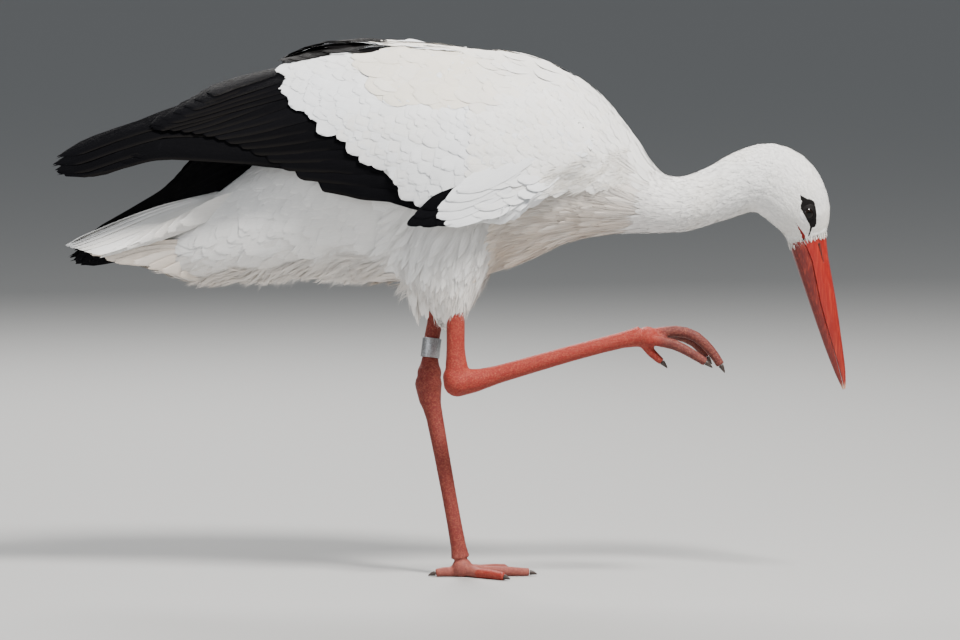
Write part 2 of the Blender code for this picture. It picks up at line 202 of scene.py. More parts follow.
def remeshed(name, bm, voxel, rounds):
    """One even, closed surface round everything in the bmesh, smoothed a little."""
    obj = link(name, mesh_from(name, bm))
    even = obj.modifiers.new("even", "REMESH")
    even.mode = "VOXEL"
    even.voxel_size = voxel
    soften = obj.modifiers.new("soften", "SMOOTH")
    soften.factor = 0.5
    soften.iterations = rounds
    return baked(obj)


def read_points(mesh):
    points = np.empty(len(mesh.vertices) * 3, np.float32)
    mesh.vertices.foreach_get("co", points)
    return points.reshape(-1, 3).astype(float)


def write_points(mesh, points):
    mesh.vertices.foreach_set("co", points.astype(np.float32).ravel())
    mesh.update()


def read_triangles(mesh):
    mesh.calc_loop_triangles()
    triangles = np.empty(len(mesh.loop_triangles) * 3, np.int32)
    mesh.loop_triangles.foreach_get("vertices", triangles)
    return triangles.reshape(-1, 3)


def evened(mesh, values, rounds):
    """Values on the vertices, averaged with those of their neighbours."""
    edges = np.empty(len(mesh.edges) * 2, np.int32)
    mesh.edges.foreach_get("vertices", edges)
    a, b = edges.reshape(-1, 2).T
    count = np.bincount(a, minlength=len(values)) + np.bincount(b, minlength=len(values))
    for _ in range(rounds):
        total = np.bincount(a, values[b], len(values)) + np.bincount(b, values[a], len(values))
        values = (values + total / np.maximum(count, 1)) / 2
    return values


def rounded_off(mesh, places, rounds):
    """Points smoothed without shrinking the shape: each round evens them and then takes them back out."""
    for _ in range(rounds):
        even = np.column_stack([evened(mesh, column, 1) for column in places.T])
        again = np.column_stack([evened(mesh, column, 1) for column in even.T])
        places = even + (even - again) * 1.06
    return places


def write_tint(mesh, colours):
    """Keeps one colour a vertex, which the materials read."""
    layer = mesh.attributes.new("tint", "FLOAT_COLOR", "POINT")
    table = np.column_stack([colours, np.ones(len(colours))])
    layer.data.foreach_set("color", table.astype(np.float32).ravel())


def wear(mesh, material):
    mesh.materials.clear()
    mesh.materials.append(material)


# ---------------------------------------------------------------- surfaces that feathers lie on


def points_and_triangles(names):
    """The named solids as one list of points and one of triangles, with the solid of each triangle."""
    points, triangles, owners, start = [], [], [], 0
    for index, name in enumerate(names):
        mesh = nodes[name].data
        points.append(read_points(mesh))
        triangles.append(read_triangles(mesh) + start)
        owners.append(np.full(len(triangles[-1]), index))
        start += len(points[-1])
    return np.vstack(points), np.vstack(triangles), np.concatenate(owners)


def tree_from(points, triangles):
    return BVHTree.FromPolygons(points.tolist(), triangles.tolist())


def tree_of(names):
    return tree_from(*points_and_triangles(names)[:2])


def owners_of(places, names):
    """Which of the named solids each place is nearest to, as its index."""
    points, triangles, owners = points_and_triangles(names)
    tree = tree_from(points, triangles)
    return owners[[tree.find_nearest(place)[2] for place in places.tolist()]]


class Surface:
    """A surface that feathers can grow from and lie along."""

    def __init__(self, points, triangles):
        self.points = np.asarray(points, float)
        self.triangles = np.asarray(triangles, int)
        self.tree = tree_from(self.points, self.triangles)
        corners = self.points[self.triangles]
        across = np.cross(corners[:, 1] - corners[:, 0], corners[:, 2] - corners[:, 0])
        self.areas = np.linalg.norm(across, axis=1) / 2
        normals = np.zeros_like(self.points)
        for corner in range(3):
            np.add.at(normals, self.triangles[:, corner], across)
        self.normals = unit(normals)
        self.centres, self.facing = corners.mean(1), self.normals[self.triangles].mean(1)

    def nearest(self, points):
        """The closest places on the surface, their normals and their triangles."""
        found = [self.tree.find_nearest(point) for point in points.tolist()]
        places = np.array([tuple(hit[0]) for hit in found])
        index = np.array([hit[2] for hit in found])
        corners = self.points[self.triangles[index]]
        reach = 1 / (np.linalg.norm(corners - places[:, None], axis=2) + 1e-5)
        return places, unit((self.normals[self.triangles[index]] * reach[..., None]).sum(1)), index

    def scatter(self, chosen, spacing):
        """Points over the chosen triangles, about the spacing apart."""
        weight = np.where(chosen, self.areas / spacing**2, 0)
        count = int(weight.sum() * 2.6)
        picked = rng.choice(len(weight), count, p=weight / weight.sum())
        a, b = rng.random((2, count))
        a, b = np.where(a + b > 1, 1 - a, a), np.where(a + b > 1, 1 - b, b)
        corners = self.points[self.triangles[picked]]
        places = corners[:, 0] + (corners[:, 1] - corners[:, 0]) * a[:, None]
        places += (corners[:, 2] - corners[:, 0]) * b[:, None]
        gaps = np.broadcast_to(spacing, weight.shape)[picked] * 0.74
        return places[spread_out(places, gaps)]


def spread_out(places, gaps):
    """Which places to keep, so that each stays its gap away from those kept before it."""
    cell = gaps.max()
    kept, grid = [], {}
    keys = np.floor(places / cell).astype(int).tolist()
    for i, (key, place, gap) in enumerate(zip(keys, places.tolist(), gaps.tolist())):
        limit = gap * gap
        near = (
            other
            for dx in (-1, 0, 1)
            for dy in (-1, 0, 1)
            for dz in (-1, 0, 1)
            for other in grid.get((key[0] + dx, key[1] + dy, key[2] + dz), ())
        )
        if any(
            (place[0] - x) ** 2 + (place[1] - y) ** 2 + (place[2] - z) ** 2 < limit for x, y, z in near
        ):
            continue
        grid.setdefault(tuple(key), []).append(place)
        kept.append(i)
    return np.array(kept, int)


class Sheet(Surface):
    """A surface made of rows, so that a place on it is also found by two shares, along and across."""

    def __init__(self, grid, inside):
        long, wide = grid.shape[:2]
        index = np.arange(long * wide).reshape(long, wide)
        a, b, c, d = index[:-1, :-1], index[1:, :-1], index[1:, 1:], index[:-1, 1:]
        triangles = np.stack([np.stack([a, b, c], -1), np.stack([a, c, d], -1)]).reshape(-1, 3)
        super().__init__(grid.reshape(-1, 3), triangles)
        if ((self.points - inside) * self.normals).sum() < 0:
            super().__init__(grid.reshape(-1, 3), triangles[:, ::-1])
        self.grid, self.grid_normals = grid, self.normals.reshape(grid.shape)

    def at(self, along, across):
        """Places and normals where the shares say."""
        long, wide = self.grid.shape[:2]
        u = np.clip(along, 0, 1) * (long - 1)
        v = np.clip(across, 0, 1) * (wide - 1)
        i, j = np.minimum(u.astype(int), long - 2), np.minimum(v.astype(int), wide - 2)
        u, v = (u - i)[..., None], (v - j)[..., None]
        read = [
            (table[i, j] * (1 - v) + table[i, j + 1] * v) * (1 - u)
            + (table[i + 1, j] * (1 - v) + table[i + 1, j + 1] * v) * u
            for table in (self.grid, self.grid_normals)
        ]
        return read[0], unit(read[1])

    def share_of(self, x):
        """The share along the sheet of a distance along the bird."""
        start, end = self.grid[0, 0, 0], self.grid[-1, 0, 0]
        return (x - start) / (end - start)


def wrapped(names, x_from, x_to, axis_z, turns, long, wide, bridge=0):
    """A sheet over the outside of the solids, from slices across the bird.

    Rays come in towards an axis at height axis_z(x). A turn of 0 is straight up and a quarter turn
    is the bird's left. bridge is how many rays wide a gap is closed over.
    """
    tree = tree_of(names)
    rays = wide * 6
    angles = np.linspace(*turns, rays)
    outward = np.column_stack([np.zeros(rays), np.sin(angles), np.cos(angles)])
    rows = []
    reach = 0.3
    for x in np.linspace(x_from, x_to, long):
        centre = np.array([x, MIDDLE, axis_z(x)])
        hits = [
            tree.ray_cast(Vector(centre + out * reach), Vector(-out), reach)[3] for out in outward
        ]
        far = np.array([np.nan if hit is None else reach - hit for hit in hits])
        found = np.flatnonzero(np.isfinite(far))
        first, last = found[0], found[-1]
        far = np.interp(np.arange(rays), found, far[found])[first : last + 1]
        if bridge:
            padded = np.pad(far, bridge, mode="edge")
            widest = np.lib.stride_tricks.sliding_window_view(padded, 2 * bridge + 1).max(1)
            padded = np.pad(widest, bridge, mode="edge")
            far = np.lib.stride_tricks.sliding_window_view(padded, 2 * bridge + 1).min(1)
        line = centre + outward[first : last + 1] * far[:, None]
        steps = np.concatenate([[0], np.cumsum(np.linalg.norm(np.diff(line, axis=0), axis=1))])
        even = np.linspace(0, steps[-1], wide)
        rows.append(np.column_stack([np.interp(even, steps, line[:, k]) for k in range(3)]))
    grid = np.stack(rows)
    for _ in range(2):
        inner = (grid[:-2] + 2 * grid[1:-1] + grid[2:]) / 4
        grid = np.concatenate([grid[:1], inner, grid[-1:]])
    inside = np.array([(x_from + x_to) / 2, MIDDLE, axis_z((x_from + x_to) / 2)])
    return Sheet(grid, inside)


class Spine:
    """The line through the middle of the bird, and what lies tailward and backward of it."""

    def __init__(self, points):
        line = curve_through(points) * MM
        self.points = np.column_stack([line[:, 0], np.full(len(line), MIDDLE), line[:, 1]])
        self.tailward = unit(np.gradient(self.points, axis=0))
        self.back = np.column_stack([self.tailward[:, 2], np.zeros(len(line)), -self.tailward[:, 0]])
        steps = np.linalg.norm(np.diff(self.points, axis=0), axis=1)
        self.length = np.concatenate([[0], np.cumsum(steps)])

    def nearest(self, places):
        index = np.empty(len(places), int)
        for start in range(0, len(places), 4000):
            part = places[start : start + 4000]
            gap = part[:, None, [0, 2]] - self.points[None, :, [0, 2]]
            index[start : start + 4000] = (gap**2).sum(-1).argmin(1)
        return index

    def turn(self, places, index):
        """The angle round the body: 0 on the back, positive on the bird's left."""
        out = places - self.points[index]
        return np.arctan2(out[:, 1], (out * self.back[index]).sum(1))

    def chart(self, places):
        """Where points lie on the body unrolled: along it from the face, and round it."""
        index = self.nearest(places)
        along = self.length[index] / self.length[-1]
        return np.column_stack([0.02 + 0.96 * along, 0.5 + 0.48 * self.turn(places, index) / pi])


spine = Spine(SPINE)


# ---------------------------------------------------------------- feather shapes


class Shape:
    """A feather's form as places across it, along it and over it, taken from a bmesh."""

    def __init__(self, bm):
        bm.verts.index_update()
        table = np.array([vert.co[:] for vert in bm.verts])
        self.across, self.along, self.height = table.T
        self.sizes = np.array([len(face.verts) for face in bm.faces])
        self.loops = np.array([vert.index for face in bm.faces for vert in face.verts])
        bm.free()


def strip(bm, rows):
    """A flat strip one face wide. Its vertices reach from -1 to 1 across and from 0 to 1 along."""
    made = bmesh.ops.create_grid(bm, x_segments=1, y_segments=rows, size=1)["verts"]
    for vert in made:
        vert.co.y = (vert.co.y + 1) / 2
    return made


def vane(columns, body_rows, tip_rows, broad, narrow, cup, fray, seed, tip, sweep):
    """A closed vane: narrow at its root, widest at the share called broad, then a rounded tip."""
    own = np.random.default_rng(seed)
    rows = body_rows + tip_rows
    bm = bmesh.new()
    bmesh.ops.create_grid(bm, x_segments=columns, y_segments=rows, size=1)
    for vert in bm.verts:
        across, row = vert.co.x, (vert.co.y + 1) / 2 * rows
        if row <= body_rows:
            share = row / body_rows
            along, outline = broad * share, narrow + (1 - narrow) * sin(share * pi / 2)
        else:
            turn = (row - body_rows) / tip_rows * pi / 2
            along, outline = broad + (1 - broad) * sin(turn), max(tip, cos(turn))
        rim = 1 if abs(across) > 0.99 or row > rows - 0.01 else 0
        vert.co.x = across * outline + rim * own.normal(0, fray)
        vert.co.y = along - sweep * across * across * outline + rim * own.normal(0, fray * 0.5)
        vert.co.z = -cup * across * across
    return Shape(bm)


def lock(hairs, spread, width, rise, seed):
    """A tuft of fine tapered barbs that leave one root and part towards their tips."""
    own = np.random.default_rng(seed)
    bm = bmesh.new()
    for i in range(hairs):
        side = 2 * (i + 0.5) / hairs - 1 + own.normal(0, 0.12)
        reach = 1 - 0.32 * own.random() * abs(side) - 0.14 * own.random()
        lift, bend = own.normal(0, rise), own.normal(0, 0.22)
        for vert in strip(bm, 3):
            along = vert.co.y
            half = width * (1 - along) ** 0.55 + 0.008
            middle = side * spread * (0.3 + 0.7 * along) + bend * along**2
            vert.co = (middle + vert.co.x * half, along * reach, lift * along)
    return Shape(bm)


def plume(barbs, width, rise, seed):
    """A loose feather, with fine barbs that leave both sides of a shaft and sweep to the tip."""
    own = np.random.default_rng(seed)
    bm = bmesh.new()
    for vert in strip(bm, 4):
        along = vert.co.y
        vert.co = (vert.co.x * (0.42 - 0.36 * along), along * 0.95, 0.04)
    for i in range(barbs):
        start = 0.04 + 0.76 * i / barbs
        reach = min(1.02, start + 0.3 + 0.12 * own.random())
        side = -1 if i % 2 else 1
        out = side * (0.62 + own.normal(0, 0.2)) * (1 - 0.6 * max(0, start - 0.3))
        lift = own.normal(0, rise)
        for vert in strip(bm, 2):
            along = vert.co.y
            half = width * (1 - along) ** 0.6 + 0.008
            middle = out * along**0.75
            vert.co = (middle + vert.co.x * half, start + (reach - start) * along, lift * along)
    return Shape(bm)


# ---------------------------------------------------------------- laying feathers


def laid_out(surface, roots, lay, length, steps):
    """Centre lines that leave the roots and follow the lay, straight on where the surface ends."""
    here, normal, _ = surface.nearest(roots)
    off_surface = np.linalg.norm(here - roots, axis=1, keepdims=True) > 2 * MM
    here = np.where(off_surface, roots, here)
    places, normals = [here], [normal]
    step = (length / steps)[:, None]
    for _ in range(steps):
        run = lay(here)
        run = unit(run - normal * (run * normal).sum(1, keepdims=True))
        aim = here + run * step
        there, found, _ = surface.nearest(aim)
        off_edge = np.linalg.norm(there - aim, axis=1, keepdims=True) > 0.6 * step
        turns_away = (found * run).sum(1, keepdims=True) > 0.4
        there = np.where(off_edge | turns_away, aim, there)
        normal = np.where(off_edge | turns_away, normal, found)
        here = here + unit(there - here) * step
        places.append(here)
        normals.append(normal)
    return np.stack(places, 1), np.stack(normals, 1)


def bent(shape, places, normals, half_width, root_height, tip_height, twist):
    """The shape laid along every centre line, as points (feather, vertex, xyz)."""
    count = len(places)
    half_width, root_height, tip_height, twist = (
        np.broadcast_to(value, count)[:, None, None]
        for value in (half_width, root_height, tip_height, twist)
    )
    steps = places.shape[1] - 1
    along = np.clip(shape.along, 0, 1) * steps
    low = np.minimum(along.astype(int), steps - 1)
    share = (along - low)[None, :, None]
    past = np.maximum(shape.along - 1, 0)[None, :, None] * steps
    run = places[:, low + 1] - places[:, low]
    centre = places[:, low] + run * (share + past)
    tangents = unit(np.gradient(places, axis=1))
    tangent = unit(tangents[:, low] * (1 - share) + tangents[:, low + 1] * share)
    normal = unit(normals[:, low] * (1 - share) + normals[:, low + 1] * share)
    across = unit(np.cross(normal, tangent))
    normal = np.cross(tangent, across)
    across, normal = (
        across * np.cos(twist) + normal * np.sin(twist),
        normal * np.cos(twist) - across * np.sin(twist),
    )
    climb = np.clip(shape.along, 0, 1.1)[None, :, None] ** 1.4
    rise = root_height + (tip_height - root_height) * climb
    return (
        centre
        + across * half_width * shape.across[None, :, None]
        + normal * (half_width * shape.height[None, :, None] + rise)
    )


class Coat:
    """Feathers gathered into one mesh, with their colours and each root's place on the skin."""

    def __init__(self, name):
        self.name = name
        self.parts = []

    def add(self, shape, points, colours, chart, root_shade=0.86, edge=None, edge_at=0.9):
        """colours holds one colour a feather, darkened towards its root as painted shade. edge is the colour
        of a painted highlight along the vane's lower rim.
        """
        count, size = points.shape[:2]
        # Painted shade: each feather darker towards its root, where the feathers over it shade it.
        shade = root_shade + (1 - root_shade) * np.clip(shape.along, 0, 1) ** 0.7
        colours = np.asarray(colours, float)[:, None, :] * shade[None, :, None]
        # Painted highlight: the vane's rim turns to the edge colour.
        if edge is not None:
            rim = ramp(shape.across * np.sign(edge_at), abs(edge_at) - 0.2, abs(edge_at))
            colours = mix(colours, np.asarray(edge), np.broadcast_to(rim, (count, size)))
        self.parts.append((shape, points, np.broadcast_to(colours, (count, size, 3)), chart))

    def feathers(self, shapes, places, normals, half_width, heights, colours, twist=0.0, **options):
        """Lays feathers that take turns between the shapes."""
        count = len(places)
        chart = spine.chart(places[:, 0])
        turns = rng.integers(len(shapes), size=count)
        values = [np.broadcast_to(v, count) for v in (half_width, *heights, twist)]
        for kind, shape in enumerate(shapes):
            own = turns == kind
            if own.any():
                points = bent(shape, places[own], normals[own], *(v[own] for v in values))
                self.add(shape, points, colours[own], chart[own], **options)

    def build(self, material, slot, *replaced):
        """One mesh from all of the feathers."""
        vertices, colours, loops, sizes, patches, vanes = [], [], [], [], [], []
        start = 0
        for shape, points, tints, chart in self.parts:
            count, size = points.shape[:2]
            vertices.append(points.reshape(-1, 3))
            colours.append(tints.reshape(-1, 3))
            offsets = start + np.arange(count)[:, None] * size
            loops.append((offsets + shape.loops[None]).ravel())
            sizes.append(np.tile(shape.sizes, count))
            own = np.column_stack([shape.across, shape.along])[shape.loops]
            spot = (np.clip(own, (-1, 0), (1, 1)) * (0.5, 1) - (0, 0.5)) * 0.003
            patches.append((chart[:, None, :] + spot[None]).reshape(-1, 2))
            vanes.append(np.tile(own, (count, 1)))
            start += count * size
        loops, sizes = np.concatenate(loops), np.concatenate(sizes)
        mesh = bpy.data.meshes.new(self.name)
        mesh.vertices.add(start)
        write_points(mesh, np.vstack(vertices))
        mesh.loops.add(len(loops))
        mesh.loops.foreach_set("vertex_index", loops.astype(np.int32))
        mesh.polygons.add(len(sizes))
        starts = np.concatenate([[0], np.cumsum(sizes)[:-1]])
        mesh.polygons.foreach_set("loop_start", starts.astype(np.int32))
        mesh.update(calc_edges=True)
        mesh.shade_smooth()
        for label, table in (("OFBake", patches), ("vane", vanes)):
            layer = mesh.uv_layers.new(name=label)
            layer.uv.foreach_set("vector", np.vstack(table).astype(np.float32).ravel())
        write_tint(mesh, np.vstack(colours))
        mesh.materials.append(material)
        placed(link(self.name, mesh), slot, *replaced)
        print(f"{self.name}: {int((sizes - 2).sum())} triangles")


def placed(obj, slot, *replaced):
    """Fixes a finished piece to the bird."""
    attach(obj, "root")
    if replaced:
        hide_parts(*replaced)
    return obj


# ---------------------------------------------------------------- materials


def add(tree, kind, inputs=None, **settings):
    """A new node with its settings, and its inputs set to values or linked to sockets."""
    made = tree.nodes.new(kind)
    for key, value in settings.items():
        setattr(made, key, value)
    for key, value in (inputs or {}).items():
        if isinstance(value, bpy.types.NodeSocket):
            tree.links.new(value, made.inputs[key])
        else:
            made.inputs[key].default_value = value
    return made


def calc(tree, operation, *values):
    return add(tree, "ShaderNodeMath", dict(enumerate(values)), operation=operation).outputs[0]


def stretch(tree, value, low, high, to_low=0.0, to_high=1.0):
    """The value's range from low to high, stretched to another one and held inside it."""
    inputs = {"Value": value, "From Min": low, "From Max": high, "To Min": to_low, "To Max": to_high}
    return add(tree, "ShaderNodeMapRange", inputs, clamp=True).outputs["Result"]


def blend(tree, share, a, b, kind="MIX"):
    """Two colours mixed. Each is a socket or three numbers."""
    a, b = (c if isinstance(c, bpy.types.NodeSocket) else (*c, 1) for c in (a, b))
    inputs = {0: share, 6: a, 7: b}
    return add(tree, "ShaderNodeMix", inputs, data_type="RGBA", blend_type=kind).outputs[2]


def shaded(tree, colour, shade):
    """A colour made darker or lighter by a value."""
    grey = add(tree, "ShaderNodeCombineColor", {0: shade, 1: shade, 2: shade}).outputs[0]
    return blend(tree, 1.0, colour, grey, "MULTIPLY")


def object_place(tree, scale=None, turn=None):
    """Object coordinates, stretched and turned where a pattern runs one way."""
    place = add(tree, "ShaderNodeTexCoord").outputs["Object"]
    if scale is None:
        return place
    mapping = add(tree, "ShaderNodeMapping", {"Vector": place, "Scale": scale})
    mapping.inputs["Rotation"].default_value = turn or (0, 0, 0)
    return mapping.outputs[0]


def noise(tree, place, scale, detail=2.0):
    inputs = {"Vector": place, "Scale": scale, "Detail": detail}
    return add(tree, "ShaderNodeTexNoise", inputs).outputs[0]


def tint(tree):
    """The colour that the mesh carries."""
    return add(tree, "ShaderNodeAttribute", attribute_name="tint").outputs["Color"]


def begun_group(name, given, found):
    """A node group with its named inputs, as a value for each, and its named outputs."""
    tree = bpy.data.node_groups.new(name, "ShaderNodeTree")
    for label, value in given.items():
        made = tree.interface.new_socket(name=label, in_out="INPUT", socket_type="NodeSocketFloat")
        made.default_value = value
    for label in found:
        tree.interface.new_socket(name=label, in_out="OUTPUT", socket_type="NodeSocketFloat")
    return tree, add(tree, "NodeGroupInput").outputs, add(tree, "NodeGroupOutput").inputs


def barbs_group():
    """Fine barbs that leave a vane's shaft at a slant, as a height and as streaks."""
    tree, given, out = begun_group("vane_barbs", {"Count": 40.0, "Slant": 0.45}, ("Height", "Streak"))
    place = add(tree, "ShaderNodeSeparateXYZ", {0: add(tree, "ShaderNodeUVMap", uv_map="vane").outputs[0]})
    off_shaft = calc(tree, "ABSOLUTE", place.outputs[0])
    back = calc(tree, "MULTIPLY", off_shaft, given["Slant"])
    line = calc(tree, "MULTIPLY", calc(tree, "SUBTRACT", place.outputs[1], back), given["Count"])
    spread = add(tree, "ShaderNodeCombineXYZ", {0: calc(tree, "MULTIPLY", place.outputs[0], 1.5), 1: line})
    fine = noise(tree, spread.outputs[0], 1.0)
    wave = calc(tree, "MULTIPLY", calc(tree, "SINE", calc(tree, "MULTIPLY", line, 2 * pi)), 0.25)
    shaft = stretch(tree, off_shaft, 0.0, 0.08, 0.9, 0.0)
    tree.links.new(calc(tree, "ADD", calc(tree, "ADD", wave, fine), shaft), out["Height"])
    tree.links.new(fine, out["Streak"])
    return tree


def patches_group():
    """Uneven patches in space: slow ones for stains, and fine ones for dust and grain."""
    tree, given, out = begun_group("uneven_patches", {"Scale": 40.0}, ("Slow", "Fine"))
    place = object_place(tree)
    tree.links.new(noise(tree, place, given["Scale"]), out["Slow"])
    tree.links.new(noise(tree, place, calc(tree, "MULTIPLY", given["Scale"], 9.0), 4.0), out["Fine"])
    return tree


def scales_group():
    """Small plates of leg skin, with grooves between them."""
    tree, given, out = begun_group("leg_plates", {"Scale": 420.0}, ("Groove", "Shade"))
    place = object_place(tree)
    warp = add(tree, "ShaderNodeTexNoise", {"Vector": place, "Scale": 260.0}).outputs[1]
    small = add(tree, "ShaderNodeVectorMath", {0: warp, 1: (0.0014,) * 3}, operation="MULTIPLY")
    moved = add(tree, "ShaderNodeVectorMath", {0: place, 1: small.outputs[0]}, operation="ADD")
    cells = {"Vector": moved.outputs[0], "Scale": given["Scale"]}
    edge = add(tree, "ShaderNodeTexVoronoi", cells, feature="DISTANCE_TO_EDGE")
    cell = add(tree, "ShaderNodeTexVoronoi", cells, feature="F1")
    tree.links.new(stretch(tree, edge.outputs["Distance"], 0.02, 0.18, 1.0, 0.0), out["Groove"])
    colour = add(tree, "ShaderNodeSeparateColor", {0: cell.outputs["Color"]})
    tree.links.new(colour.outputs[0], out["Shade"])
    return tree


def begun(name):
    """A new material, its nodes and its shader."""
    material = bpy.data.materials.new(name)
    material.use_nodes = True
    return material, material.node_tree, material.node_tree.nodes["Principled BSDF"]


def group(tree, kind, **values):
    """The outputs of a node group that is given these values."""
    made = add(tree, "ShaderNodeGroup", node_tree=kind)
    for name, value in values.items():
        made.inputs[name].default_value = value
    return made.outputs


def finished(tree, shader, colour, rough, height, strength, distance):
    """Links a colour, a roughness and a height to the shader."""
    tree.links.new(colour, shader.inputs["Base Color"])
    tree.links.new(rough, shader.inputs["Roughness"])
    bump = add(tree, "ShaderNodeBump", {"Height": height, "Strength": strength, "Distance": distance})
    tree.links.new(bump.outputs[0], shader.inputs["Normal"])


def plumage_material(name, count, roughness, sheen, streak, gloss, relief):
    """Feathers in the colours that their mesh carries, with fine barbs and slow stains."""
    material, tree, shader = begun(name)
    barbs = group(tree, BARBS, Count=count)
    uneven = group(tree, PATCHES, Scale=30.0)
    streaks = stretch(tree, barbs["Streak"], 0.3, 0.7, 1 - streak, 1.0)
    stains = stretch(tree, uneven["Slow"], 0.3, 0.7, 0.95, 1.0)
    colour = shaded(tree, tint(tree), calc(tree, "MULTIPLY", streaks, stains))
    rough = stretch(tree, uneven["Fine"], 0.3, 0.7, roughness - 0.06, roughness + 0.06)
    finished(tree, shader, colour, rough, barbs["Height"], relief, 0.0003)
    shader.inputs["Sheen Weight"].default_value = sheen
    shader.inputs["Sheen Roughness"].default_value = 0.5
    shader.inputs["Specular IOR Level"].default_value = gloss
    return material


def stroke_group():
    """How far inside a tapering stroke a point lies, seen from the side, all in millimetres."""
    names = ("Start X", "Start Z", "Run X", "Run Z", "Start Width", "End Width")
    tree, given, out = begun_group("face_stroke", dict.fromkeys(names, 1.0), ("Inside",))
    place = add(tree, "ShaderNodeSeparateXYZ", {0: object_place(tree)}).outputs
    x = calc(tree, "SUBTRACT", calc(tree, "DIVIDE", place[0], MM), given["Start X"])
    z = calc(tree, "SUBTRACT", calc(tree, "DIVIDE", place[2], MM), given["Start Z"])

    def along(a, b):
        first = calc(tree, "MULTIPLY", a, given["Run X"])
        return calc(tree, "ADD", first, calc(tree, "MULTIPLY", b, given["Run Z"]))

    share = stretch(tree, calc(tree, "DIVIDE", along(x, z), along(given["Run X"], given["Run Z"])), 0, 1)
    off_x = calc(tree, "SUBTRACT", x, calc(tree, "MULTIPLY", share, given["Run X"]))
    off_z = calc(tree, "SUBTRACT", z, calc(tree, "MULTIPLY", share, given["Run Z"]))
    squares = [calc(tree, "MULTIPLY", value, value) for value in (off_x, off_z)]
    away = calc(tree, "SQRT", calc(tree, "ADD", *squares))
    growth = calc(tree, "SUBTRACT", given["End Width"], given["Start Width"])
    width = calc(tree, "ADD", given["Start Width"], calc(tree, "MULTIPLY", share, growth))
    tree.links.new(calc(tree, "SUBTRACT", width, away), out["Inside"])
    return tree


def strokes_mask(tree, strokes):
    """1 inside any of the strokes, with a fairly crisp edge."""
    deepest = None
    for (x, z), (end_x, end_z), start_width, end_width in strokes:
        values = {"Start X": x, "Start Z": z, "Run X": end_x - x, "Run Z": end_z - z}
        inside = group(tree, STROKE, **values, **{"Start Width": start_width, "End Width": end_width})[0]
        deepest = inside if deepest is None else calc(tree, "MAXIMUM", deepest, inside)
    return stretch(tree, deepest, -0.35, 0.35)


def skin_material():
    """The skin under the plumage, with its markings: bare black round the eye, red at the gape."""
    material, tree, shader = begun("skin")
    uneven = group(tree, PATCHES, Scale=160.0)
    gape = blend(tree, strokes_mask(tree, GAPE_STROKES), tint(tree), GAPE_RED)
    marked = blend(tree, strokes_mask(tree, BARE_STROKES), gape, BARE_BLACK)
    colour = shaded(tree, marked, stretch(tree, uneven["Fine"], 0.3, 0.7, 0.85, 1.1))
    rough = stretch(tree, uneven["Slow"], 0.3, 0.7, 0.5, 0.68)
    finished(tree, shader, colour, rough, uneven["Fine"], 0.5, 0.0004)
    shader.inputs["Specular IOR Level"].default_value = 0.12
    return material


def leg_material():
    """Red skin in small plates, paler on some of them, with dust, and painted shade in the grooves between
    them.
    """
    material, tree, shader = begun("leg_skin")
    plates = group(tree, SCALES, Scale=680.0)
    uneven = group(tree, PATCHES, Scale=55.0)
    own = tint(tree)
    pale = blend(tree, 0.22, own, PALE_PLATE)
    lit = blend(tree, stretch(tree, plates["Shade"], 0.3, 1.0, 0.0, 0.8), own, pale)
    # Painted shade: the grooves between the plates darkened.
    shaded_grooves = blend(tree, 0.7, own, GROOVE_PAINTED_SHADE)
    grooved = blend(tree, calc(tree, "MULTIPLY", plates["Groove"], 0.55), lit, shaded_grooves)
    dust = stretch(tree, uneven["Fine"], 0.5, 0.75, 0.0, 0.14)
    dusty = blend(tree, dust, grooved, DUST)
    rough = stretch(tree, uneven["Fine"], 0.3, 0.7, 0.45, 0.7)
    height = calc(tree, "SUBTRACT", calc(tree, "MULTIPLY", uneven["Fine"], 0.4), plates["Groove"])
    finished(tree, shader, dusty, rough, height, 0.6, 0.0004)
    shader.inputs["Specular IOR Level"].default_value = 0.4
    return material


def bill_material():
    """Red horn with a fine grain along it, scuffed pale here and there."""
    material, tree, shader = begun("bill_horn")
    grain = noise(tree, object_place(tree, (900, 900, 40), (0, radians(-14), 0)), 1.0, 3.0)
    uneven = group(tree, PATCHES, Scale=60.0)
    streaked = blend(tree, stretch(tree, grain, 0.48, 0.75, 0.0, 0.3), tint(tree), HORN_STREAK)
    scuffed = blend(tree, stretch(tree, uneven["Fine"], 0.68, 0.84, 0.0, 0.3), streaked, HORN_SCUFF)
    rough = stretch(tree, uneven["Fine"], 0.3, 0.7, 0.3, 0.5)
    finished(tree, shader, scuffed, rough, grain, 0.25, 0.0003)
    shader.inputs["Coat Weight"].default_value = 0.15
    shader.inputs["Coat Roughness"].default_value = 0.3
    return material


def claw_material():
    """Dark horn, worn paler in places."""
    material, tree, shader = begun("claw_horn")
    uneven = group(tree, PATCHES, Scale=150.0)
    worn = stretch(tree, uneven["Fine"], 0.35, 0.7)
    colour = blend(tree, worn, CLAW_DARK, CLAW_WORN)
    rough = stretch(tree, uneven["Fine"], 0.3, 0.7, 0.35, 0.6)
    finished(tree, shader, colour, rough, uneven["Fine"], 0.3, 0.0003)
    return material


def eye_material(side):
    """A dark brown iris round the pupil, under a wet surface."""
    material, tree, shader = begun(f"eye_{side}")
    centre = EYE[side]
    front = centre + Vector((EYE_FORWARD, SIDES[side], -EYE_DOWN)).normalized() * EYE_RADIUS
    place = object_place(tree)
    gap = add(tree, "ShaderNodeVectorMath", {0: place, 1: front}, operation="DISTANCE").outputs["Value"]
    iris = blend(tree, noise(tree, place, 900.0), IRIS_DARK, IRIS_BROWN)
    colour = blend(tree, stretch(tree, gap, *PUPIL_EDGE), PUPIL, iris)
    rimmed = blend(tree, stretch(tree, gap, *IRIS_EDGE), colour, EYE_RIM)
    rough = stretch(tree, gap, 0.0, 0.01, 0.04, 0.12)
    tree.links.new(rimmed, shader.inputs["Base Color"])
    tree.links.new(rough, shader.inputs["Roughness"])
    shader.inputs["Specular IOR Level"].default_value = 0.22
    return material


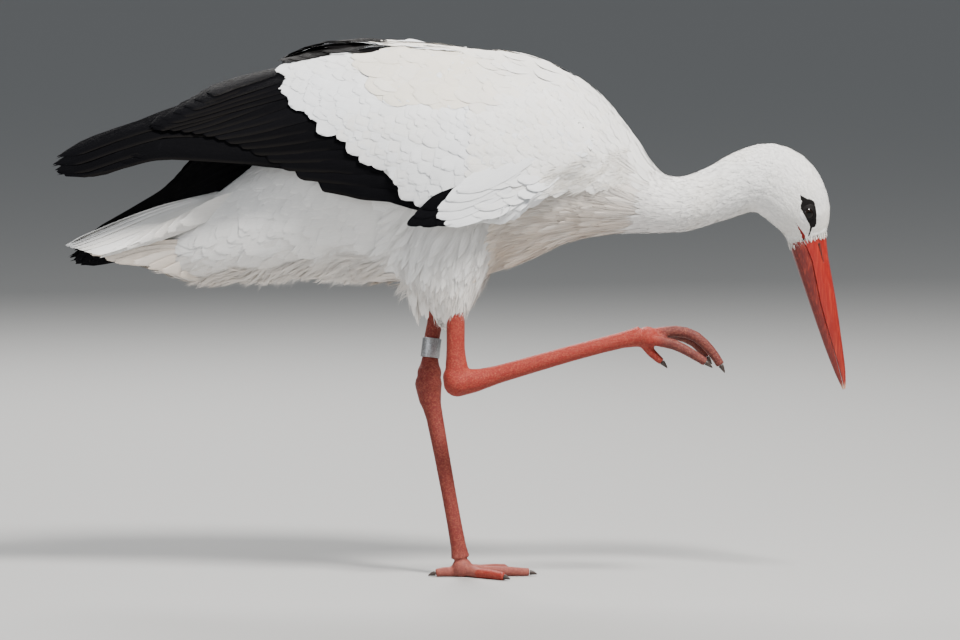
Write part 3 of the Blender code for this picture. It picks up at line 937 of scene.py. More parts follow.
def ring_material():
    """Worn bare metal, brushed round the band."""
    material, tree, shader = begun("ring_metal")
    brushed = noise(tree, object_place(tree, (90, 90, 2600)), 1.0, 3.0)
    uneven = group(tree, PATCHES, Scale=90.0)
    worn = stretch(tree, uneven["Fine"], 0.4, 0.7)
    colour = blend(tree, worn, METAL, METAL_WORN)
    rough = stretch(tree, brushed, 0.3, 0.7, 0.35, 0.6)
    finished(tree, shader, colour, rough, brushed, 0.3, 0.0002)
    shader.inputs["Metallic"].default_value = 0.85
    return material


def stage_material():
    """A plain pale floor."""
    material, _, shader = begun("floor")
    shader.inputs["Base Color"].default_value = FLOOR_GREY
    shader.inputs["Roughness"].default_value = 0.8
    return material


BARBS, PATCHES, SCALES, STROKE = barbs_group(), patches_group(), scales_group(), stroke_group()
WHITE_VANES = plumage_material("white_vanes", 26.0, 0.75, 0.1, 0.07, 0.2, 0.22)
WHITE_DOWN = plumage_material("white_down", 8.0, 0.8, 0.25, 0.05, 0.2, 0.15)
BLACK_VANES = plumage_material("black_vanes", 110.0, 0.62, 0.0, 0.35, 0.025, 0.3)
SKIN, LEG_SKIN, BILL_HORN = skin_material(), leg_material(), bill_material()
CLAW_HORN, RING_METAL = claw_material(), ring_material()


# ---------------------------------------------------------------- the skin


def inside_strokes(places, strokes):
    """How far inside the nearest stroke points lie, in mm, and below 0 outside all of them."""
    deepest = np.full(len(places), -1e3)
    for start, end, start_width, end_width in strokes:
        start, run = np.array(start, float), np.subtract(end, start)
        out = places[:, [0, 2]] / MM - start
        share = np.clip(out @ run / (run @ run), 0, 1)
        away = np.linalg.norm(out - share[:, None] * run, axis=1)
        deepest = np.maximum(deepest, start_width + share * (end_width - start_width) - away)
    return deepest


# Where the raised foot's toes begin, and the part of that foot that is its hind toe, as x and z.
TOES_FROM, TOES_ABOVE = (0.212, 0.232), (0.236, 0.26)
LOW_TOES_FROM, HIND_TOE = (0.232, 0.246), (0.226, 0.262)
STANDING_FOOT_TOP = (0.012, 0.03)


def leg_tint(places):
    """Red legs, the standing one duller with painted shade, with mauve toes on the raised one and a red hind
    toe.
    """
    raised = places[:, 1] < MIDDLE - 0.02
    colours = np.where(raised[:, None], LEG_RED, LEG_RED_IN_PAINTED_SHADE)
    toes = ramp(places[:, 0], *TOES_FROM) * raised * ramp(places[:, 2], *TOES_ABOVE)
    hind = (places[:, 0] < HIND_TOE[0]) & (places[:, 2] < HIND_TOE[1])
    toes = np.where(hind, 0, np.maximum(toes, ramp(places[:, 0], *LOW_TOES_FROM) * raised))
    colours = mix(colours, TOE_MAUVE, toes * 0.85)
    foot = (1 - ramp(places[:, 2], *STANDING_FOOT_TOP)) * ~raised
    return mix(colours, STANDING_FOOT, foot * 0.6)


def pushed_in(obj, names):
    """Lets the skin of a shell down under the outline of its plumage."""
    depth_of = np.array([COAT_DEPTH.get(name, WING_DEPTH) for name in names])
    mesh = obj.data
    places = read_points(mesh)
    depth = evened(mesh, depth_of[owners_of(places, names)], 12)
    surface = Surface(places, read_triangles(mesh))
    write_points(mesh, places - surface.normals * depth[:, None])
    return obj


def head_shell():
    """The head and the upper neck, with enough of the lower neck to run on into the trunk."""
    bm = merged(HEAD_NODES)
    neck = merged(("neck_lower",))
    whole = neck.verts[:] + neck.edges[:] + neck.faces[:]
    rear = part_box("neck_lower")[1].x - HEAD_OVERLAP
    bmesh.ops.bisect_plane(
        neck, geom=whole, dist=1e-7, plane_co=(rear, 0, 0), plane_no=(1, 0, 0), clear_inner=True
    )
    bmesh.ops.holes_fill(neck, edges=[edge for edge in neck.edges if edge.is_boundary], sides=0)
    neck_end = mesh_from("neck_end", neck)
    bm.from_mesh(neck_end)
    bpy.data.meshes.remove(neck_end)
    obj = pushed_in(remeshed("head_shell", bm, HEAD_VOXEL, 4), (*HEAD_NODES, "neck_lower"))
    places = read_points(obj.data)
    rim = places[places[:, 0] < rear + 5 * MM]
    narrowing = END_NARROWING * ramp(-places[:, 0], -rear - 16 * MM, -rear - 3 * MM)
    towards = ((rim.min(0) + rim.max(0)) / 2 - places) * (0, 1, 1)
    write_points(obj.data, places + towards * narrowing[:, None])
    return obj


def wing_shell(side):
    """The fleshy part of a folded wing."""
    name = WING_NODES[side][0]
    obj = remeshed(f"wing_shell_{side}", merged((name,)), WING_VOXEL, 3)
    return pushed_in(obj, (name,))


def middle_and_size(points):
    """Of the box round the points."""
    return Vector((points.min(0) + points.max(0)) / 2), np.ptp(points, axis=0)


def leg_shell(side):
    """A bare leg from inside the thigh's plumage to the toes, smooth over its joints."""
    names = LEG_NODES[side]
    bm = merged(names)
    low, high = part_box(names[0])
    shank = points_and_triangles(names[:1])[0]
    # The shank runs on up into the thigh.
    middle, size = middle_and_size(shank[shank[:, 2] > high.z - 7 * MM])
    place = Matrix.Translation(middle + Vector((0, 0, 17 * MM))) @ Matrix.Diagonal((*size[:2] / 2, 1, 1))
    bmesh.ops.create_cone(
        bm, cap_ends=True, segments=20, radius1=0.97, radius2=1, depth=40 * MM, matrix=place
    )
    # A ball fills the notch between the shank and the tarsus.
    middle, size = middle_and_size(shank[shank[:, 2] < low.z + 4 * MM])
    place = Matrix.Translation(middle - Vector((0, 0, 2.5 * MM)))
    bmesh.ops.create_icosphere(bm, subdivisions=3, radius=size.max() / 2 * 1.03, matrix=place)
    obj = remeshed(f"leg_shell_{side}", bm, LEG_VOXEL, 3)
    places = read_points(obj.data)
    trees = [tree_of((name,)) for name in names]
    away = np.array([[tree.find_nearest(place)[3] for place in places.tolist()] for tree in trees])
    to_joint = np.minimum(np.maximum(away[0], away[1]), np.maximum(away[1], away[2]))
    near = evened(obj.data, ramp(-to_joint, -JOINT_FAR, -JOINT_NEAR), 6)[:, None]
    write_points(obj.data, places + (rounded_off(obj.data, places, 30) - places) * near)
    return obj


# The section of a lid from inside its edge out to the skin: share of the eye's radius, how far the
# angle has gone over from the opening's edge to a fixed one, and that angle in degrees.
LID_SECTION = (
    (0.97, 0.06, 50), (1.0, 0.0, 50), (1.06, 0.0, 50), (1.09, 0.3, 45), (1.1, 0.7, 47),
    (1.15, 1, 52), (1.26, 1, 59.5), (1.42, 1, 67), (1.4, 1, 74),
)


def lid_ring(side):
    """The two lids of an eye, from an almond-shaped opening on the eyeball out into the skin."""
    bm = bmesh.new()
    rows = len(LID_SECTION) - 1
    bmesh.ops.create_grid(bm, x_segments=48, y_segments=rows, size=1)
    for vert in bm.verts:
        turn = vert.co.x * pi
        share, over, angle = LID_SECTION[round((vert.co.y + 1) / 2 * rows)]
        opening = LID_OPENING + LID_CORNER * abs(cos(turn)) ** 1.6
        away = radians(opening + (angle - opening) * over)
        vert.co = Vector((sin(away) * cos(turn), sin(away) * sin(turn), cos(away)))
        vert.co *= EYE_RADIUS * share
    bmesh.ops.remove_doubles(bm, verts=bm.verts, dist=1e-6)
    out = Vector((EYE_FORWARD, SIDES[side], -EYE_DOWN)).normalized()
    slant = Vector((cos(radians(LID_SLANT)), 0, sin(radians(LID_SLANT))))
    slant = (slant - out * slant.dot(out)).normalized()
    turned = Matrix((slant, out.cross(slant), out)).transposed()
    bm.transform(Matrix.Translation(EYE[side]) @ turned.to_4x4())
    bmesh.ops.recalc_face_normals(bm, faces=bm.faces)
    mesh = mesh_from(f"lids_{side}", bm)
    mesh.shade_smooth()
    return link(mesh.name, mesh)


def make_skin():
    """Joins the shells of flesh into one skin, and colours it."""
    trunk = remeshed("trunk_shell", merged(TRUNK_NODES), TRUNK_VOXEL, 3)
    shells = [pushed_in(trunk, TRUNK_NODES), head_shell()]
    shells += [wing_shell(side) for side in SIDES]
    feathered = [Surface(read_points(obj.data), read_triangles(obj.data)) for obj in shells[:2]]
    shells += [lid_ring(side) for side in SIDES]
    for obj in shells:
        wear(obj.data, SKIN)
        write_tint(obj.data, np.tile(WHITE, (len(obj.data.vertices), 1)))
    legs = [leg_shell(side) for side in SIDES]
    for obj in legs:
        wear(obj.data, LEG_SKIN)
        write_tint(obj.data, leg_tint(read_points(obj.data)))
    with bpy.context.temp_override(active_object=trunk, selected_editable_objects=[*shells, *legs]):
        bpy.ops.object.join()
    trunk.name = "skin"
    replaced = [*TRUNK_NODES, *HEAD_NODES, *(WING_NODES[side][0] for side in SIDES)]
    replaced += [name for side in SIDES for name in LEG_NODES[side]]
    placed(trunk, "plumage_white", *replaced)
    print("skin:", len(read_triangles(trunk.data)), "triangles")
    return feathered


# ---------------------------------------------------------------- how the plumage lies


def drift(places, reach, seed):
    """A slow swing between -1 and 1 over the body, one turn about every reach."""
    own = np.random.default_rng(seed)
    waves = own.normal(0, 1, (5, 3))
    waves = unit(waves) * (2 * pi / reach) * own.uniform(0.6, 1.5, (5, 1))
    return np.sin(places @ waves.T + own.uniform(0, 2 * pi, 5)).mean(1) * 1.6


def tailward(sag=0.0):
    """The lay along the body towards the tail, with some of it downwards."""

    def lay(places):
        run = spine.tailward[spine.nearest(places)].copy()
        run[:, 2] -= sag
        return unit(run)

    return lay


def one_way(*direction):
    """The same lay everywhere."""

    def lay(places):
        return np.broadcast_to(np.array(direction, float), places.shape)

    return lay


def along_body(places):
    """How far from the bill points lie along the spine, in millimetres."""
    return spine.length[spine.nearest(places)] / MM


LOCKS = [lock(4, 0.95, 0.3, 0.06, seed) for seed in range(6)]
SHORT_LOCKS = [lock(3, 0.8, 0.36, 0.05, seed) for seed in range(10, 16)]
WISPS = [lock(6, 0.95, 0.08, 0.2, seed) for seed in range(20, 26)]
STRANDS = [lock(6, 0.9, 0.13, 0.05, seed) for seed in range(100, 106)]
PLUMES = [plume(12, 0.1, 0.12, seed) for seed in range(30, 36)]
SOFT_VANES = [vane(8, 3, 3, 0.66, 0.5, 0.05, 0.03, seed, 0.3, 0.06) for seed in range(40, 46)]
COVERT_VANES = [vane(8, 3, 4, 0.64, 0.5, 0.05, 0.014, seed, 0.14, 0.05) for seed in range(50, 56)]
EDGE_VANES = [vane(14, 2, 4, 0.78, 0.5, 0.05, 0.035, seed, 0.3, 0.05) for seed in range(90, 96)]
QUILL_VANES = [vane(6, 14, 4, 0.93, 0.4, 0.08, 0.012, seed, 0.2, 0.02) for seed in range(60, 66)]
LANCES = [vane(4, 4, 3, 0.45, 0.4, 0.1, 0.05, seed, 0.05, 0.03) for seed in range(70, 76)]
SMALL_VANES = [vane(4, 2, 2, 0.6, 0.5, 0.06, 0.06, seed, 0.25, 0.05) for seed in range(80, 86)]


def swung(lay, places, normals, yaw):
    """The lay in the surface's plane, turned by an angle about its normal."""
    run = lay(places)
    run = unit(run - normals * (run * normals).sum(1, keepdims=True))
    return run * np.cos(yaw)[:, None] + np.cross(normals, run) * np.sin(yaw)[:, None]


def grown(surface, roots, lay, length, yaw, steps=4):
    """Centre lines like laid_out's, each swung by its own angle from the lay."""
    _, normals, _ = surface.nearest(roots)
    heading = swung(lay, roots, normals, yaw)
    start = lay(roots)

    def own_lay(places):
        return heading + lay(places) - start

    return laid_out(surface, roots, own_lay, length, steps)


# Short of the lower neck's top by these, its own feathers end and those of the head and neck start.
NECK_PLUMAGE_END, HEAD_PLUMAGE_START = 16 * MM, 24 * MM
# Short feathers edge the bare skin, up to this far from it, and the bill's base.
NEAR_BARE, NEAR_BILL = 7, 7 * MM
# Feathers with roots this near to the bill lie over it, and those behind this place are the chin's.
AT_BILL, CHIN_BEHIND = 6 * MM, 0.381


def plumage_on_head(surface):
    """Fine short feathers on the head and upper neck, smallest round the bill and the eye."""
    centres = surface.centres
    neck_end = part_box("neck_lower")[1].x - HEAD_PLUMAGE_START
    bare = inside_strokes(centres, BARE_STROKES + GAPE_STROKES)
    bill = tree_of(("bill_upper", "bill_lower"))
    bill_axis = unit(np.array(middle_of("bill_upper") - middle_of("head")))
    faces_bill = surface.facing @ bill_axis > 0.85
    grows = (centres[:, 0] > neck_end) & (bare < 0)
    grows &= ~(faces_bill & (centres[:, 2] < 0.396))

    def from_bill(places):
        return np.array([bill.find_nearest(place)[3] for place in places.tolist()])

    edge = (bare > -NEAR_BARE) | (from_bill(centres) < NEAR_BILL)

    def tract(coat, shapes, spacing, lengths, halves, heights, stray, only=True):
        """Sizes in mm at set distances back from the bill. Those at the bill lie forwards over its base."""
        reach = along_body(centres)
        chosen = grows & only
        roots = surface.scatter(chosen, np.interp(reach, (10, 60, 110, 170), spacing) * MM)
        reach, count = along_body(roots), len(roots)
        to_bill = from_bill(roots)
        at_bill = to_bill < varied(count, AT_BILL, 0.3)
        chin = at_bill & (roots[:, 0] < CHIN_BEHIND)
        length = np.interp(reach, (10, 35, 70, 110, 170), lengths) * MM * varied(count, 1, 0.2)
        gap = -inside_strokes(roots, BARE_STROKES + GAPE_STROKES)
        length = np.minimum(length, (2.6 + 0.7 * gap) * MM)
        length = np.where(at_bill, to_bill + varied(count, 3 * MM, 0.6), length)
        length = np.where(chin, to_bill + varied(count, 8 * MM, 0.25), length)
        back = tailward()

        def lay(places):
            return np.where(at_bill[:, None], bill_axis, back(places))

        yaw = drift(roots, 0.03, 3) * np.interp(reach, (20, 120), (0.1, 0.4))
        yaw += rng.normal(0, stray, count) * np.where(at_bill, 1.7, 1.0)
        places, normals = grown(surface, roots, lay, length, yaw)
        heading = swung(one_way(*bill_axis), places[:, 0], normals[:, 0], yaw)
        over_bill = places[:, :1] + heading[:, None] * np.linspace(0, length, 5).T[..., None]
        places = np.where(at_bill[:, None, None], over_bill, places)
        normals = np.where(at_bill[:, None, None], normals[:, :1], normals)
        path = np.stack([inside_strokes(places[:, i], BARE_STROKES) for i in range(1, 5)]).max(0)
        clear = path < 0.2 + 0.5 * rng.random(count)
        tip_height = np.interp(reach, (50, 150), heights) * MM * (1 + 0.3 * drift(roots, 0.02, 4))
        tip_height += rng.uniform(0, 0.35 * MM, count)
        tip_height += np.where(at_bill, rng.uniform(0.6 * MM, 1.6 * MM, count), 0)
        half = np.interp(reach, (10, 60, 170), halves) * MM * varied(count, 1, 0.15)
        half = np.where(at_bill, half * 0.36, np.minimum(half, (0.8 + 0.15 * gap) * MM))
        warm = 0.25 * ramp(drift(roots, 0.05, 5), -0.5, 1) + 0.25 * ramp(-roots[:, 2], -0.43, -0.38)
        colours = mix(WHITE, CREAM, warm) * rng.uniform(0.96, 1.02, (count, 1))
        heights = (0.05 * MM, tip_height[clear])
        coat.feathers(shapes, places[clear], normals[clear], half[clear], heights, colours[clear])

    coat = Coat("head_plumage")
    tract(coat, SMALL_VANES, (1.9, 2.3, 2.9, 3.6), (4.5, 6, 9, 13, 17), (1.3, 2.1, 3.4), (0.5, 0.8), 0.12)
    coat.build(WHITE_DOWN, "plumage_white")
    coat = Coat("head_barbs")
    tract(coat, SHORT_LOCKS, (2.1, 2.6, 3.2, 4), (5, 7, 11, 16, 22), (0.9, 1.3, 2.0), (0.7, 1.2), 0.16)
    tract(coat, SHORT_LOCKS, (0.85, 50, 50, 50), (3.2, 3.6, 4, 4, 4), (0.7, 0.9, 1), (0.5, 0.6), 0.2, edge)
    coat.build(WHITE_DOWN, "plumage_white")


def shown_beside(surface, trees):
    """Which triangles aren't hidden: nothing covers them straight out, or out and down."""
    outward = surface.facing
    shown = np.zeros(len(outward), bool)
    for drop in (0.0, 0.8):
        aim = unit(outward - (0, 0, drop))
        for i in np.flatnonzero(~shown):
            start = Vector(surface.centres[i] + outward[i] * MM)
            shown[i] = all(tree.ray_cast(start, Vector(aim[i]), 0.12)[0] is None for tree in trees)
    return shown


# Along the body, the places where the sizes of trunk_tract begin and stop changing, in mm.
SIZES_CHANGE = (165, 255)


def trunk_tract(coat, surface, chosen, shapes, lay, spacing, length, half, heights, colour, **how):
    """Sizes in mm, or pairs of them: the first at the head's end of the neck, the second 90 mm on."""

    def sized(value, reach):
        return np.interp(reach, SIZES_CHANGE, np.broadcast_to(value, 2)) * MM

    roots = surface.scatter(chosen, sized(spacing, along_body(surface.centres)))
    _, facing, _ = surface.nearest(roots)
    ahead = (facing * unit(lay(roots))).sum(1)
    roots = roots[(ahead < 0.6) & (ahead > -0.8)]
    count, reach = len(roots), along_body(roots)
    yaw = drift(roots, how.get("reach", 0.06), 7) * how.get("swing", 0.15)
    yaw += rng.normal(0, how.get("stray", 0.08), count)
    sizes = varied(count, 1, 0.2)
    places, normals = grown(surface, roots, lay, sized(length, reach) * sizes, yaw)
    fluff = 1 + 0.3 * drift(roots, 0.03, 8) + rng.uniform(-0.15, 0.25, count)
    keep = how["until"](places[:, -1]) if "until" in how else np.ones(count, bool)
    colours = (colour(roots) * rng.uniform(0.96, 1.02, (count, 1)))[keep]
    heights = (heights[0] * MM, (sized(heights[1], reach) * fluff)[keep])
    half = (sized(half, reach) * sizes)[keep]
    coat.feathers(shapes, places[keep], normals[keep], half, heights, colours)


def whites(warm, low_painted_shade=0.0):
    """White that turns to tan in slow patches, and turns tan low on the body as painted shade."""

    def colour(roots):
        # Painted shade: tan low on the body.
        share = warm * (0.6 + 0.4 * drift(roots, 0.12, 9)) + low_painted_shade * ramp(-roots[:, 2], -0.4, -0.33)
        return mix(WHITE, TAN, np.clip(share, 0, 1))

    return colour


def breast_colour(roots):
    """White above, with tan as painted shade: a little all over, more low on the sides, and streaked there.
    """
    low_shade = ramp(-roots[:, 2], -0.47, -0.37)
    streak = 0.5 + 0.5 * drift(roots, 0.02, 10)
    return mix(WHITE, TAN, 0.1 + 0.35 * low_shade + 0.4 * streak * low_shade)


def before_thigh(tips):
    """Breast feathers end where those of the thigh cover them."""
    return tips[:, 0] > np.interp(tips[:, 2], (0.33, 0.42), (0.0, 0.03))


def above_knee(tips):
    """Thigh feathers end at a ragged line just above the knee."""
    return tips[:, 2] > 0.283 + rng.uniform(0, 0.012, len(tips))


def before_tail(tips):
    """Body feathers end where the tail's feathers come out."""
    return tips[:, 0] > np.interp(tips[:, 2], (0.33, 0.352, 0.36), (-0.3, -0.34, -0.5))


def thigh_lay(places):
    """Down the leg, and turning to the tail towards its upper rear edge."""
    to_tail = ramp(-places[:, 0], 0.035, 0.085) * ramp(places[:, 2], 0.345, 0.39)
    slant = 0.12 + 0.3 * ramp(places[:, 2], 0.32, 0.38)
    down = np.column_stack([-slant, 0 * slant, -np.ones(len(places))])
    return unit(mix(down, (-1, 0, -0.35), to_tail))


def plumage_on_trunk(surface):
    """Neck, breast, belly, tail coverts and thighs, each with feathers of its own kind."""
    x, z, upward = surface.centres[:, 0], surface.centres[:, 2], surface.facing[:, 2]
    shown = shown_beside(surface, [tree_of(WING_NODES[side]) for side in SIDES])
    shown &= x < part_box("neck_lower")[1].x - NECK_PLUMAGE_END
    owner = owners_of(surface.centres, TRUNK_NODES)
    part = {name: shown & (owner == i) for i, name in enumerate(TRUNK_NODES)}
    trunk, tail_part, neck = part["trunk"], part["tail_coverts"], part["neck_lower"]
    thigh = part["thigh_right"] | part["thigh_left"]
    front, above, under = x > 0.02, upward > 0.35, upward < -0.3

    def tract(chosen, shapes, *sizes, **how):
        """Feathers for the coat that is being made."""
        trunk_tract(coat, surface, chosen, shapes, *sizes, **how)

    along, drooping, sagging, hanging = (tailward(sag) for sag in (0.04, 0.18, 0.55, 1.1))

    coat = Coat("neck_plumage")
    how = {"lay": tailward(), "colour": whites(0.08)}
    vanes = {"spacing": (3.4, 5.6), "length": (15, 25), "half": (3.1, 5), "heights": (0, (0.9, 1.5))}
    locks = {"spacing": (3.8, 5), "length": (20, 34), "half": (2.1, 3.4), "heights": (0, (1.3, 2.2))}
    tract(neck, SMALL_VANES, swing=0.3, **vanes, **how)
    tract(neck, LOCKS, swing=0.35, **locks, **how)
    coat.build(WHITE_DOWN, "plumage_white")

    coat = Coat("breast_plumage")
    breast = (trunk | thigh) & front & ~above
    how = {"colour": breast_colour, "until": before_thigh}
    tract(breast, LANCES, along, 6.5, 56, 6, (-0.5, 1.8), **how)
    tract(breast, STRANDS, along, 7, 60, 5.5, (-0.2, 3), swing=0.25, **how)
    coat.build(WHITE_DOWN, "plumage_white")

    coat = Coat("back_plumage")
    back = (trunk | tail_part) & above
    tract(back, SOFT_VANES, along, 9, 44, 10, (-0.4, 1.3), whites(0.05), until=before_tail)
    coat.build(WHITE_VANES, "plumage_white")

    coat = Coat("belly_plumage")
    high_thigh = trunk & (x > -0.06) & (x < 0.035) & (z < 0.44) & ~under
    side = (trunk & (x < -0.045) | thigh & (x < -0.045) & (z > 0.375) | tail_part) & ~above
    how = {"colour": whites(0.06, 0.35), "until": before_tail}
    tract(side, SOFT_VANES, drooping, 10, 52, 12, (-0.5, 1.8), swing=0.2, **how)
    coat.build(WHITE_VANES, "loose_plumage")

    coat = Coat("belly_fringe")
    fringe = (trunk & ~front | tail_part) & (upward < -0.6)
    # Under the belly the tan is stronger, as painted shade.
    how = {"colour": whites(0.15, 0.4), "until": before_tail}
    tract(fringe, PLUMES, sagging, 6.5, 38, 5.5, (0.2, 7), swing=0.5, stray=0.2, **how)
    how["colour"] = whites(0.1, 0.3)
    tract(fringe, WISPS, hanging, 8, 34, 4, (0.2, 11), swing=0.7, stray=0.35, **how)
    tract(fringe, WISPS, sagging, 7, 46, 4.5, (0.2, 9), swing=0.5, stray=0.25, **how)
    coat.build(WHITE_DOWN, "loose_plumage")

    coat = Coat("thigh_plumage")
    leg = thigh | high_thigh
    how = {"colour": whites(0.04, 0.2), "until": above_knee}
    tract(leg, LANCES, thigh_lay, 5.5, 48, 5, (0, 3.2), swing=0.2, **how)
    tract(leg, STRANDS, thigh_lay, 6, 46, 4.5, (0.3, 4.2), swing=0.25, **how)
    how["colour"] = whites(0.06, 0.25)
    tract(thigh & (z < 0.35), WISPS, thigh_lay, 6, 32, 3.5, (0.2, 6), swing=0.3, **how)
    rear = (thigh | trunk) & (x > -0.14) & (x < -0.045) & (z < 0.38)
    how["colour"] = whites(0.1, 0.3)
    tract(rear, WISPS, one_way(-0.9, 0, -1), 7, 44, 4, (0.2, 6), swing=0.4, stray=0.25, **how)
    coat.build(WHITE_DOWN, "loose_plumage")


# ---------------------------------------------------------------- the wings


# The line that each wing curves round, from its tip to the shoulder: places along the bird, and heights.
WING_AXES = {
    "right": ((-0.456, 0.146), (0.43, 0.5)),
    "left": ((-0.446, -0.25, -0.19, 0.146), (0.28, 0.4, 0.45, 0.5)),
}


def wing_sheet(side):
    """The outside of a folded wing, from its shoulder to its tip and from over the back to below."""
    coverts, flight = WING_NODES[side]
    front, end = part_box(coverts)[1].x - 2 * MM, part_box(flight)[0].x + 2 * MM
    turns = (-0.25 * SIDES[side], 2.9 * SIDES[side])
    return wrapped(WING_NODES[side], front, end, height_along(WING_AXES[side]), turns, 64, 33)


def beside(sheet, side, spots):
    """Places on a wing, or level with it, that are seen at the spots (x, z) from that side, in mm."""
    out = SIDES[side]
    found = []
    for x, z in spots:
        start = Vector((x * MM, MIDDLE + out * 0.3, z * MM))
        hit = sheet.tree.ray_cast(start, Vector((0, -out, 0)), 0.3)[0]
        if hit is None:
            close = sheet.tree.find_nearest(Vector((start.x, MIDDLE + out * 0.09, start.z)))[0]
            hit = Vector((start.x, close.y, start.z))
        found.append(hit)
    return np.array([tuple(place) for place in found])


# The coverts beside and under the tail: their ends seen from the side, their slope, how far from
# the middle the first and last of them end and how much nearer they start, in mm, and how tan they are.
# Their tan is a little tone beside the tail and painted shade under it.
TAIL_SIDES = (
    (
        ((-402, 365), (-388, 370), (-374, 375), (-359, 381), (-344, 387), (-329, 394), (-314, 401)),
        0.42, 36, 42, 24, 0.1,
    ),
    (
        ((-413, 366), (-400, 361), (-386, 357), (-366, 356), (-350, 352), (-334, 347), (-316, 343)),
        0.12, 31, 20, 8, 0.55,
    ),
)
# The rounded ends of the greater coverts, seen from the side, from the back down to the wrist.
COVERT_ENDS = (
    (-209, 571), (-202, 551), (-188, 535), (-168, 522), (-143, 508), (-128, 493),
    (-107, 479), (-92, 466), (-80, 454), (-70, 442), (-60, 432), (-45, 426),
)
# The white lobe over the wrist, as the ends of its feathers, their length, half width, and how far
# their roots and ends stand off the wing, in mm.
WRIST_FEATHERS = (
    (((-19, 404), (-27, 412), (-26, 421), (-17, 431), (-5, 441)), 88, 12, (0.5, 3.2)),
    (((12, 414), (14, 424), (4, 434), (22, 447)), 66, 13, (-1.2, 2.5)),
    (((46, 430), (38, 438), (62, 436), (48, 450), (72, 444), (62, 452)), 38, 10, (-1.8, 1.8)),
)
BLACK_WRIST_ENDS = ((-30, 411), (-60, 404), (-45, 403), (-52, 413), (-43, 422), (-28, 404))
BLACK_FRONT_END = ((24, 411),)  # one more, ahead of the others
WRIST_RUN = (-0.915, -0.4)  # the way they all point, as (x, z)
# Sizes of the small coverts in mm: near the parting, and 180 mm ahead of there.
COVERT_SPACING, COVERT_LENGTH, COVERT_HALF = (13, 8.5), (44, 27), (13.5, 9)
COVERTS_LOWEST = 0.404  # nothing of the white shield hangs below this height
PARTING_GAP = 47 * MM  # the small coverts start this far ahead of the parting
# The rows of greater coverts, the last one on top: which ends they take, how far ahead of them they end,
# their length and half width, and how far their roots and ends stand off the wing, all in mm.
COVERT_ROWS = (
    ("ends", 3, 58, 14, (-2.0, 0.05)),
    ("between", 6, 56, 14, (-1.9, 0.15)),
    ("ends", 15, 52, 13.5, (-1.5, 0.25)),
    ("between", 23, 48, 13, (-1.3, 0.3)),
    ("ends", 33, 46, 13, (-1.1, 0.4)),
)


def ended_at(sheet, ends, lay, length, yaw):
    """Centre lines that end at the given places, traced back against the lay."""

    def backwards(places):
        return -lay(places)

    places, normals = grown(sheet, ends, backwards, length, yaw, 5)
    return places[:, ::-1], normals[:, ::-1]


def covert_lay(side):
    """Coverts point to the tail, and more steeply down the nearer they are to the wrist."""

    def lay(places):
        steep = ramp(-places[:, 2], -0.6, -0.42) * 0.75 + 0.12
        run = np.column_stack([-np.ones(len(places)), np.zeros(len(places)), -steep])
        run[:, 1] = SIDES[side] * 0.15 * steep
        return unit(run)

    return lay


def parting_x(z):
    """How far back the white coverts reach at each height."""
    spots = np.array(COVERT_ENDS) * MM
    order = np.argsort(spots[:, 1])
    return np.interp(z, spots[order, 1], spots[order, 0])


def covert_colour(places, cream):
    """Cool white with slow patches of cream."""
    share = cream * ramp(drift(places, 0.09, 13), -0.6, 0.9)
    return mix(COOL_WHITE, CREAM, share) * rng.uniform(0.965, 1.02, (len(places), 1))


